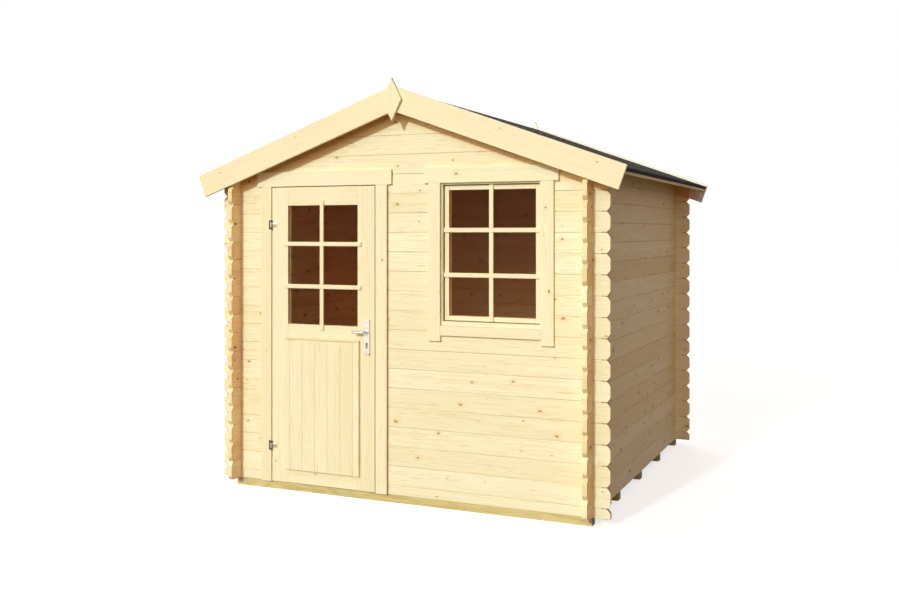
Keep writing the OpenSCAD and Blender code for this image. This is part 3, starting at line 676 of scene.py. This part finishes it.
# %% Glass finish
glass, tree, shader = finish_of("window_pane")
feed(shader, Base_Color=(0.97, 0.98, 0.97), Roughness=0.0, Transmission_Weight=1.0, IOR=1.08)
in_shadow = put(tree, "LightPath").outputs["Is Shadow Ray"]
clear = put(tree, "BsdfTransparent")
either(tree, in_shadow, shader.outputs[0], clear.outputs[0], tree.nodes["Material Output"].inputs["Surface"])
dress(glass, "window_glass", "door_glass")
count(tree)

# %% [markdown]
# ## Metal
#
# The lever handles and their plates are satin steel, the hinges have a yellowish
# zinc plating, and the lock cylinder is a brass made dark, which paints the shade of
# its keyhole. Satin metal has hair-fine scratches all in one direction, which a
# stretched noise gives to the roughness and the relief.

# %% Metal finishes
EVEN_HAIRS = (120.0, 120.0, 120.0)

rubbed, ins = new_group("Rubbed metal", Place="Vector", Hairs="Vector", Tint=(1, 1, 1), Smoothest=0.35,
                        Roughest=0.6)
hair = stretched_noise(ins["Place"], ins["Hairs"], 3.0)["Fac"]
smudge = stretched_noise(ins["Place"], (40.0, 40.0, 40.0), 2.0)["Fac"]
both = plus(times(hair, 0.6), times(smudge, 0.4))
darker = tinted(1.0, ins["Tint"], (0.82, 0.82, 0.82))
give_out(rubbed, Colour=blend(both, darker, ins["Tint"]), Height=hair,
         Roughness=ramp(both, 0.3, 0.7, to=(ins["Smoothest"], ins["Roughest"])))


def metal(name, tint, smoothest, roughest, hairs=EVEN_HAIRS):
    """A rubbed metal; the scratches run along the axis on which the hairs are fewest."""
    made, tree, shader = finish_of(name)
    look = use_group(tree, rubbed, Place=put(tree, "TexCoord").outputs["Object"], Hairs=hairs, Tint=tint,
                     Smoothest=smoothest, Roughest=roughest)
    feed(shader, Base_Color=look["Colour"], Roughness=look["Roughness"], Metallic=1.0)
    emboss(shader, look["Height"], 0.15, 0.0002)
    return made


satin = metal("satin_steel", (0.58, 0.55, 0.50), 0.32, 0.5, (900.0, 900.0, 60.0))
zinc = metal("zinc_plate", (0.46, 0.40, 0.29), 0.35, 0.6)
dark_pin = metal("dark_hinge_pin", (0.13, 0.11, 0.075), 0.35, 0.6)
dress(satin, "lever_outer", "lever_inner", "lock_plates")
dress(zinc, "hinge_pins", "hinge_plates")
# The cylinder's dark brass paints the shade of the keyhole.
dress(metal("lock_brass", (0.21, 0.19, 0.15), 0.3, 0.5, (500.0, 500.0, 500.0)), "lock_cylinder")
dressed = [name for name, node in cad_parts.items()
           if all(slot.material and slot.material.users for slot in node.material_slots)]
print("dressed", len(dressed), "of", len(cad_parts), "nodes")

# %% [markdown]
# ## Working on a piece
#
# From here on we work as at a bench: take up one piece, open it in edit mode, pick
# faces or edges by where they are, and use a tool on them. Picking in code needs the
# piece closed, so the helper closes it, marks what passes a test, and opens it again.
# A hair's breadth is left between pieces, so that no two faces lie in one place.

# %% Bench helpers
HAIR = 0.0002
WELD = 0.00001


def take(piece):
    """Leave everything else alone and take up one piece."""
    lay_aside()
    bpy.context.view_layer.objects.active = piece
    piece.select_set(True)


def open_piece(piece, kind="FACE", test=None):
    """Open a piece in edit mode with only the faces or edges picked that pass the test."""
    take(piece)
    bpy.ops.object.mode_set(mode="EDIT")
    bpy.ops.mesh.select_mode(type=kind)
    bpy.ops.mesh.select_all(action="DESELECT" if test else "SELECT")
    if not test:
        return
    bpy.ops.object.mode_set(mode="OBJECT")
    mesh = piece.data
    if kind == "FACE":
        for face in mesh.polygons:
            face.select = test(face.center, face.normal)
    else:
        for edge in mesh.edges:
            a, b = (mesh.vertices[i].co for i in edge.vertices)
            edge.select = test((a + b) / 2, (b - a).normalized())
    bpy.ops.object.mode_set(mode="EDIT")


def close_piece():
    bpy.ops.object.mode_set(mode="OBJECT")


def corners(node):
    return [Vector(c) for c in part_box(node)]


def fresh(name):
    """Name what was just added, and put its place and its size into its mesh."""
    piece = bpy.context.object
    piece.name = piece.data.name = name
    bpy.ops.object.transform_apply()
    return piece


def block(name, low, high):
    """A squared block between two corners."""
    lay_aside()
    middle = [(a + b) / 2 for a, b in zip(low, high)]
    bpy.ops.mesh.primitive_cube_add(size=1, location=middle, scale=[b - a for a, b in zip(low, high)])
    return fresh(name)


def draw_out(x=0, y=0, z=0):
    """Extrude what is picked."""
    bpy.ops.mesh.extrude_region_move(TRANSFORM_OT_translate={"value": (x, y, z)})


def ease(piece, width, test, segments=2):
    """Take the sharpness off the edges that pass the test, as sandpaper or a moulding plane does."""
    open_piece(piece, "EDGE", test)
    bpy.ops.mesh.bevel(offset=width, segments=segments, profile=0.5, affect="EDGES")
    close_piece()


def work_over(piece, kind, **settings):
    """Give a piece a modifier and apply it."""
    take(piece)
    worker = piece.modifiers.new("worker", kind)
    for name, value in settings.items():
        setattr(worker, name, value)
    bpy.ops.object.modifier_apply(modifier=worker.name)


def settle(piece, body, slot_name, finish, *stands_for):
    """A finished piece: it moves with its body, takes its finish, and may stand for CAD nodes."""
    piece.data.materials.clear()
    piece.data.materials.append(finish)
    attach(piece, body)
    if stands_for:
        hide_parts(*stands_for)
    return piece


def join_up(name, pieces):
    """Make one piece of several."""
    take(pieces[0])
    for piece in pieces:
        piece.select_set(True)
    bpy.ops.object.join()
    return fresh(name)


print("bench helpers ready; pieces meet with", HAIR * 1000, "mm between them")

# %% [markdown]
# ## Sanded joinery
#
# Planed timber never has knife-sharp edges: the joiner takes them off with sandpaper,
# and the eased edge catches the light. So each board, frame and stile is copied from
# the construction model, welded into whole faces, and eased by a millimetre or two.
# In a frame each member gets the finish that runs its own way. A few faces are
# refinished with painted light: the reveal beside the door glass gets a warmer painted
# shade, the side of the right door casing a darker painted shade, the top faces of the
# ledges under the window a painted shade that tones down the sun on them, and the side
# of the back bargeboards that stands above the roof, with the back finial, a pale
# painted highlight.

# %% Sanded copies
EASED, BARGE_EASED = 0.0018, 0.0025


def copy_of(source, name):
    """A copy with its own mesh."""
    copy = bpy.data.objects.new(name, source.data.copy())
    copy.data.name = name
    bpy.context.scene.collection.objects.link(copy)
    return copy


def bench_copy(node, name):
    """A copy of a CAD node to work on, welded, with its triangles dissolved into whole faces."""
    piece = copy_of(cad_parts[node], name)
    open_piece(piece)
    bpy.ops.mesh.remove_doubles(threshold=WELD)
    bpy.ops.mesh.dissolve_limited(angle_limit=radians(1))
    close_piece()
    bpy.ops.mesh.customdata_custom_splitnormals_clear()
    bpy.ops.object.shade_flat()
    return piece


def members(piece):
    """The separate timbers of a piece, each as its set of vertex numbers."""
    whole = {v.index: {v.index} for v in piece.data.vertices}
    for edge in piece.data.edges:
        a, b = (whole[i] for i in edge.vertices)
        if a is not b:
            a |= b
            whole.update((i, a) for i in b)
    return {id(found): found for found in whole.values()}.values()


def sand(node, body, across, down=None):
    """A sanded copy of a node; upright timbers take the second finish where one is given."""
    piece = bench_copy(node, node + "_sanded")
    width = BARGE_EASED if across is sloped_trim else EASED
    work_over(piece, "BEVEL", width=width, segments=2, limit_method="ANGLE", angle_limit=radians(40))
    settle(piece, body, "trim", across, node)
    if down:
        piece.data.materials.append(down)
        side = {}
        for whole in members(piece):
            spots = [piece.data.vertices[i].co for i in whole]
            wide, tall = (max(c[k] for c in spots) - min(c[k] for c in spots) for k in (0, 2))
            side.update({i: int(tall > wide) for i in whole})
        for face in piece.data.polygons:
            face.material_index = side[face.vertices[0]]
    return piece


def refinish(node, finish, test):
    """Give the faces of a sanded copy that pass the test another finish."""
    mesh = sanded[node].data
    mesh.materials.append(finish)
    for face in mesh.polygons:
        if test(face.center, face.normal):
            face.material_index = len(mesh.materials) - 1


sanded = {}
for nodes, body, *finishes in (
    ("door_casings window_casings front_finial back_finial", "shed", upright),
    ("door_head_board window_head_board window_apron", "shed", level),
    ("window_frame window_sash", "shed", level, upright),
    ("door_threshold", "shed", leaf_level),
    ("door_frame", "shed", leaf_level, leaf_upright),
    ("front_bargeboards back_bargeboards", "shed", sloped_trim),
    ("door_stiles", "door", leaf_upright),
    ("door_rails", "door", leaf_level),
):
    for node in nodes.split():
        sanded[node] = sand(node, body, *finishes)

GLASS_LEFT, LEDGE_TOP = (-0.78, -0.75), 1.12
# Painted shade on the reveal beside the door glass: warmer wood, and darker and browner behind the glass.
reveal = clean_timber("leaf_reveal_shade", "ZYX", -1.06, LEAF_FACE, 341.0, half_room=1.137,
                      Early_wood=(1.0, 0.76, 0.42), Room_colour=(0.5, 0.32, 0.18))
# Painted shade on the outer side of the right door casing.
casing_side_shade = clean_timber("casing_side_shade", "ZYX", -1.02, CASING_FACE, 315.0, Early_wood=(0.58, 0.40, 0.20))
# Darker wood on the top faces of the window's ledges: painted shade that tones down the sun on them.
ledge = clean_timber("ledge_top_shade", "XYZ", 0.85, CASING_FACE, 361.0, Early_wood=(0.66, 0.56, 0.34))
# A pale painted highlight on the back bargeboards' sides above the roof and on the back finial.
painted_highlight = timber("painted_highlight_trim", "XYZ", laid=downhill, Width=3.0, Face=1.255, Seed=455.0, Grain=0.1,
                  Knot_share=0.3, Fleck=0.1, Tone_range=0.04, Early_wood=(0.97, 0.95, 0.84))
casing_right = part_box("door_casings")[1][0]
refinish("door_stiles", reveal, lambda middle, way: way.x > 0.9 and GLASS_LEFT[0] < middle.x < GLASS_LEFT[1])
refinish("door_casings", casing_side_shade, lambda middle, way: way.x > 0.6 and middle.x > casing_right - 0.003)
for node in ("window_frame", "window_apron", "window_sash"):
    refinish(node, ledge, lambda middle, way: way.z > 0.7 and middle.z < LEDGE_TOP)
refinish("back_bargeboards", painted_highlight, lambda middle, way: way.y < -0.9 or way.z > 0.5)
refinish("back_finial", painted_highlight, lambda middle, way: way.y < 0.5)
print("sanded:", ", ".join(f"{name} {len(p.data.polygons)}" for name, p in sanded.items()))

# %% [markdown]
# ## Glazing bars
#
# Slim bars are planted on the leaf and on the sash, so that one pane looks like six.
# Each level bar runs a little past the glass. The upright bar stops at each level
# bar, where the two are halved into each other. One helper makes a bar from a block;
# its moulding is a bevel on the front edges along its length.

# %% Glazing bars
BAR_WIDE, BAR_THICK = 0.026, 0.010


def glazing_bar(name, x, z, face):
    """A bar between two x and two z values, standing out from a face."""
    front = face - BAR_THICK
    bar = block(name, (x[0], front, z[0]), (x[1], face - HAIR, z[1]))
    along = Vector((1, 0, 0)) if x[1] - x[0] > z[1] - z[0] else Vector((0, 0, 1))
    ease(bar, 0.0028, lambda spot, way: spot.y < front + HAIR / 2 and abs(way.dot(along)) > 0.9, segments=3)
    ease(bar, 0.0006, lambda spot, way: abs(way.dot(along)) < 0.1 and max(map(abs, way)) > 0.99, segments=1)
    return bar


def glazing(name, body, face, across, level_at, upright_x, upright_z):
    """Level bars at the given heights, and an upright bar in stretches between them."""
    half = BAR_WIDE / 2
    levels = [glazing_bar(name, across, (z - half, z + half), face) for z in level_at]
    stops = [upright_z[0], *(z + side * (half + HAIR) for z in level_at for side in (-1, 1)), upright_z[1]]
    span = (upright_x - half, upright_x + half)
    uprights = [glazing_bar(name, span, ends, face) for ends in zip(stops[::2], stops[1::2])]
    settle(join_up(name + "_level", levels), body, "trim", level)
    settle(join_up(name + "_upright", uprights), body, "trim", upright)


leaf_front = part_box("door_stiles")[0][1]
sash_low, sash_high = corners("window_sash")
glazing("door_bars", "door", leaf_front, (-0.791, -0.254), (1.256, 1.514), -0.523, (0.992, 1.778))
glazing("window_bars", "shed", sash_low.y, (sash_low.x + 0.010, sash_high.x - 0.010), (1.340, 1.597), 0.5605,
        (1.081, sash_high.z - 0.011))
print("bars stand out", BAR_THICK * 1000, "mm")

# %% [markdown]
# ## Dark strip in the sash rebate
#
# A dark strip lies in the rebate between the sash and its frame, where there is only
# a shadow gap: it paints the shade line round the sash. Only a few millimetres of it
# show. It is a flat ring: a face is inset to the strip's width, its middle is taken
# out, and what is left is given a thickness and a soft edge.

# %% Dark strip
STRIP_WIDE, STRIP_THICK = 0.0035, 0.003
STRIP_X, STRIP_Z = (0.2674, 0.8536), (1.0756, 1.8574)

# A dark strip set where there is only a shadow gap: painted shade for the line round the sash.
strip_finish, tree, shader = finish_of("dark_shade_strip")
dust = stretched_noise(put(tree, "TexCoord").outputs["Object"], (60.0, 60.0, 60.0), 3.0)["Fac"]
feed(shader, Base_Color=blend(dust, (0.09, 0.052, 0.024), (0.19, 0.115, 0.058)),
     Roughness=ramp(dust, 0.3, 0.7, to=(0.55, 0.8)), Specular_IOR_Level=0.1)
lay_aside()
bpy.ops.mesh.primitive_plane_add(size=1, rotation=(QUARTER, 0, 0),
                                 location=(sum(STRIP_X) / 2, sash_low.y - HAIR, sum(STRIP_Z) / 2))
bpy.context.object.scale = (STRIP_X[1] - STRIP_X[0], STRIP_Z[1] - STRIP_Z[0], 1)
gap_strip = fresh("shade_line_strip")
open_piece(gap_strip)
bpy.ops.mesh.inset(thickness=STRIP_WIDE)
bpy.ops.mesh.delete(type="FACE")
bpy.ops.mesh.select_all(action="SELECT")
draw_out(y=-STRIP_THICK)
bpy.ops.mesh.select_all(action="SELECT")
bpy.ops.mesh.normals_make_consistent(inside=False)
close_piece()
ease(gap_strip, 0.001, lambda spot, way: spot.y < sash_low.y - STRIP_THICK and abs(way.y) < 0.1)
settle(gap_strip, "shed", "trim", strip_finish)
print("seal:", len(gap_strip.data.polygons), "faces,", STRIP_WIDE * 1000, "mm wide")

# %% [markdown]
# ## Door boards
#
# The lower door is faced with upright matchboards. Where two boards meet, both
# edges are bevelled, so a fine V runs down the door. One helper cuts each board
# to its width; a narrower one closes each side. A sloping strip caps their upper
# ends and sheds the rain, with a thin quirk under it: a block whose upper front
# edge is pushed back.

# %% Door boards
BOARD, FULL_BOARDS = 0.088, 5
QUIRK_LOW, QUIRK_HIGH, CAP_TOP, CAP_SLOPE = 0.929, 0.931, 0.944, 0.014
SKIN = 0.001

panel_low, panel_high = corners("door_panel")
first_seam = panel_low.x + (panel_high.x - panel_low.x) % BOARD / 2
seams = [panel_low.x, *(first_seam + BOARD * i for i in range(FULL_BOARDS + 1)), panel_high.x]


def matchboard(left, right):
    """One board between two seams, its front edges bevelled."""
    board = block("matchboard", (left + HAIR, panel_low.y, panel_low.z),
                  (right - HAIR, panel_high.y, QUIRK_LOW))
    ease(board, 0.0022, lambda spot, way: spot.y < panel_low.y + SKIN and abs(way.z) > 0.9, segments=1)
    ease(board, 0.001, lambda spot, way: abs(way.x) > 0.9 and spot.y < panel_low.y + SKIN, segments=1)
    return board


matchboards = [matchboard(left, right) for left, right in zip(seams, seams[1:])]
cap = block("cap_strip", (panel_low.x, panel_low.y, QUIRK_HIGH), (panel_high.x, panel_high.y, CAP_TOP))
open_piece(cap, "EDGE", lambda spot, way: spot.y < panel_low.y + SKIN and spot.z > CAP_TOP - SKIN)
bpy.ops.transform.translate(value=(0, CAP_SLOPE, 0))
close_piece()
ease(cap, 0.001, lambda spot, way: spot.y < panel_high.y - SKIN and abs(way.x) > 0.9)
cap_wood = clean_timber("cap_wood", "XYZ", 0.9, LEAF_FACE, 381.0, Early_wood=(0.80, 0.72, 0.46))
settle(cap, "door", "trim", cap_wood)
boarding = timber("door_boards", "ZYX", Width=BOARD, First_edge=first_seam, Face=-1.1823, Seed=611.0,
                  Knot_share=0.25, Knot_spacing=0.3, Grain=0.2, Tone_range=0.12)
settle(join_up("door_boards", matchboards), "door", "trim", boarding, "door_panel")
print("door boards:", len(matchboards), "from", round(seams[0], 3), "to", round(seams[-1], 3))

# %% [markdown]
# ## Lever handles
#
# A cheap shed lock has a round lever: a neck comes out of the plate, turns through a
# right angle and runs along the door. It could be a curve with a round section, but
# it is made here as a smith would bend a rod: a disc is drawn out into the neck, spun
# round the elbow, drawn out in short lengths that swell and flatten a little, and
# closed with a rounded end. A ring covers the joint with the plate.

# %% Lever handles
NECK_R, BAR_R, ELBOW = 0.0080, 0.0085, 0.013
RING_R, RING_THICK, SUNK = 0.0125, 0.004, 0.002
LENGTHS = ((0.25, 1.0, 1.04), (0.5, 0.97, 1.04), (0.75, 0.94, 1.0), (0.93, 0.94, 0.98))
ROUNDED_END = ((0.6, 0.82), (0.4, 0.55))

lever_low, lever_high = corners("lever_outer")
plate_low, plate_high = corners("lock_plates")
axis_x, axis_z, tip_x = lever_high.x - BAR_R, (lever_low.z + lever_high.z) / 2, lever_low.x


def draw_along(start, end, deep, tall):
    """Draw the rod out from one x to another, and change its thickness."""
    draw_out(x=end - start)
    bpy.ops.transform.resize(value=(1, deep, tall))
    return end


def lever(name, face_y, out, bar_y, node):
    """A lever whose neck leaves the plate at face_y; out is -1 outdoors and 1 indoors."""
    lay_aside()
    bpy.ops.mesh.primitive_circle_add(vertices=28, radius=NECK_R, fill_type="NGON", rotation=(QUARTER, 0, 0),
                                      location=(axis_x, face_y - out * SUNK, axis_z))
    rod = fresh(name)
    open_piece(rod)
    draw_out(y=out * (abs(bar_y - face_y) - ELBOW + SUNK))
    elbow_x = reached = axis_x - ELBOW
    bpy.ops.mesh.spin(steps=8, angle=-out * QUARTER, axis=(0, 0, 1),
                      center=(elbow_x, bar_y - out * ELBOW, axis_z))
    for share, deep, tall in LENGTHS:
        reached = draw_along(reached, elbow_x + share * (tip_x + 0.001 - elbow_x), deep, tall)
    for share, size in ROUNDED_END:
        reached = draw_along(reached, reached + share * (tip_x - reached), size, size)
    bpy.ops.mesh.select_all(action="SELECT")
    bpy.ops.mesh.remove_doubles(threshold=WELD)
    bpy.ops.mesh.normals_make_consistent(inside=False)
    close_piece()
    bpy.ops.object.shade_smooth()
    lay_aside()
    bpy.ops.mesh.primitive_cylinder_add(vertices=32, radius=RING_R, depth=RING_THICK,
                                        rotation=(QUARTER, 0, 0),
                                        location=(axis_x, face_y + out * (RING_THICK + HAIR) / 2, axis_z))
    ring = fresh("ring")
    ease(ring, 0.0012, lambda spot, way: out * (spot.y - face_y) > 0.003 and abs(way.y) < 0.1)
    whole = join_up(name, [rod, ring])
    bpy.ops.object.shade_smooth_by_angle(angle=radians(35))
    return settle(whole, "lever", "steel", satin, node)


handle = lever("outer_handle", plate_low.y, -1, lever_low.y + BAR_R, "lever_outer")
lever("inner_handle", plate_high.y, 1, corners("lever_inner")[1].y - BAR_R, "lever_inner")
print("handle box:", [tuple(round(c, 4) for c in handle.bound_box[corner]) for corner in (0, 6)])

# %% [markdown]
# ## Screws and lock plates
#
# The long plates are copied from the model with their holes for the lever and
# the key. Their corners are rounded and their front edges eased, and each is
# held by a countersunk screw near both ends. A screw head is a disc whose middle
# is sunk a little; one is made and copied.

# %% Screws and lock plates
def screw_head(radius):
    """A low domed head at the origin that looks to the front, with a sunk middle."""
    lay_aside()
    bpy.ops.mesh.primitive_cylinder_add(vertices=20, radius=radius, depth=radius * 0.5,
                                        rotation=(QUARTER, 0, 0))
    head = fresh("screw_head")
    ease(head, radius * 0.22, lambda spot, way: spot.y < -radius * 0.2 and abs(way.y) < 0.1)
    open_piece(head, "FACE", lambda middle, normal: normal.y < -0.99 and middle.length < radius)
    bpy.ops.mesh.inset(thickness=radius * 0.35)
    bpy.ops.mesh.inset(thickness=radius * 0.10)
    bpy.ops.transform.translate(value=(0, radius * 0.25, 0))
    close_piece()
    return head


def place_copy(master, spot, turn):
    """A copy of a small master part, turned and in its place."""
    copy = copy_of(master, master.name)
    copy.location = spot
    copy.rotation_euler = turn
    take(copy)
    bpy.ops.object.transform_apply()
    return copy


def screws(name, radius, finish, *rows):
    """Screw heads as one piece on the door; a row is its places and how far its heads are turned."""
    master = screw_head(radius)
    heads = [place_copy(master, spot, (0, 0, turn)) for spots, turn in rows for spot in spots]
    bpy.data.objects.remove(master)
    settle(join_up(name, heads), "door", "steel", finish)
    print(name, len(heads))


def near(value, stops, reach=1e-4):
    """Whether a value lies at one of the stops."""
    return min(abs(value - stop) for stop in stops) < reach


PROUD = 0.0006
plates = bench_copy("lock_plates", "lock_plates_rounded")
ends, edges, faces = ((plate_low[k], plate_high[k]) for k in (2, 0, 1))
ease(plates, 0.006, lambda spot, way: abs(way.y) > 0.9 and near(spot.z, ends) and near(spot.x, edges),
     segments=4)
ease(plates, 0.0014, lambda spot, way: abs(way.y) < 0.1 and near(spot.y, faces) and (
    near(spot.x, edges, 0.0045) or near(spot.z, ends, 0.0045)))
settle(plates, "door", "steel", satin, "lock_plates")
screws("lock_screws", 0.0042, zinc, *(
    ([(axis_x, y, z) for z in (ends[0] + 0.014, ends[1] - 0.014)], turn)
    for y, turn in ((faces[0] - PROUD, 0), (faces[1] + PROUD, pi))))
print("lock plates", round((ends[1] - ends[0]) * 1000), "mm long")

# %% [markdown]
# ## Hinges
#
# The hinge plates and their knuckles keep the model's shape, with eased edges, so
# that the door still turns on them. The pins are dark, and two screws with dark
# heads hold each plate.

# %% Hinges
HINGE_SCREW_Z = (0.270, 1.631)

for node, name, finish, body in (("hinge_pins", "hinge_knuckles", dark_pin, "shed"),
                                 ("hinge_plates", "hinge_leaves", zinc, "door")):
    piece = bench_copy(node, name)
    work_over(piece, "BEVEL", width=0.0006, segments=2, limit_method="ANGLE", angle_limit=radians(60))
    bpy.ops.object.shade_smooth_by_angle(angle=radians(35))
    settle(piece, body, "steel", finish, node)
hinge_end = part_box("hinge_plates")[1][0]
screws("hinge_screws", 0.0034, dark_pin, (
    [(hinge_end - inward, leaf_front - 0.0035, z) for z in HINGE_SCREW_Z for inward in (0.007, 0.020)], 0))

# %% [markdown]
# ## Felt courses
#
# Roofing felt comes in rolls a metre wide. Each slope has a lower course along the
# eave and an upper one that laps over it. The upper course is a thin sheet laid on
# the slope, divided and moved a little by a cloud pattern, because felt never lies
# quite flat.

# %% Felt courses
LAP_DOWN = 0.52
felt_low, felt_high = corners("felt_right")
ridge_z = felt_high.z + tan(PITCH) * felt_low.x
half_long = felt_high.y - 0.004
ripple = bpy.data.textures.new("felt_ripple", "CLOUDS")
ripple.noise_scale = 0.16

for side, name in ((-1, "left"), (1, "right")):
    course = block("felt_upper_" + name, (0.05, -half_long, 0.0004), (LAP_DOWN, half_long, 0.0018))
    open_piece(course)
    bpy.ops.mesh.subdivide(number_cuts=20)
    close_piece()
    work_over(course, "DISPLACE", texture=ripple, texture_coords="LOCAL", direction="Z", strength=0.0016,
              mid_level=0.35)
    bpy.ops.object.shade_smooth_by_angle(angle=radians(40))
    course.rotation_euler = (0, PITCH, 0)
    course.location = (0, 0, ridge_z)
    bpy.ops.object.transform_apply()
    if side < 0:
        open_piece(course)
        bpy.ops.transform.resize(value=(-1, 1, 1), center_override=(0, 0, 0))
        bpy.ops.mesh.normals_make_consistent(inside=False)
        close_piece()
    settle(course, "shed", "felt", felt)
print("lap line at", LAP_DOWN, "m down the slope; felt top at", round(ridge_z, 4))

# %% [markdown]
# ## Clout nails
#
# Felt is held by short nails with broad flat heads: a row along each lap, and one
# along both edges of the ridge strip. One head is made with few faces and copied
# along each row, and all of them are joined into one piece.

# %% Clout nails
NAILS_IN_ROW, NAIL_FROM_END = 17, 0.04
lay_aside()
bpy.ops.mesh.primitive_cylinder_add(vertices=12, radius=0.005, depth=0.0016)
clout = fresh("clout")
ease(clout, 0.0006, lambda spot, way: spot.z > 0.0005 and abs(way.z) < 0.1, segments=1)
strip_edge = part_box("felt_ridge")[1][0] - 0.02


def nail_rows(distance, above):
    """Heads along both slopes, at one distance down from the ridge."""
    x = distance * cos(PITCH) + above * sin(PITCH)
    z = ridge_z - distance * sin(PITCH) + above * cos(PITCH)
    reach = half_long - NAIL_FROM_END
    places = [reach * (2 * k / (NAILS_IN_ROW - 1) - 1) for k in range(NAILS_IN_ROW)]
    return [place_copy(clout, (side * x, y, z), (0, side * PITCH, 0)) for y in places for side in (-1, 1)]


nails = nail_rows(LAP_DOWN - 0.02, 0.0028) + nail_rows(strip_edge / cos(PITCH), 0.0052)
bpy.data.objects.remove(clout)
whole = settle(join_up("felt_nails", nails), "shed", "steel", zinc)
print("clout nails:", len(nails), "faces:", len(whole.data.polygons))
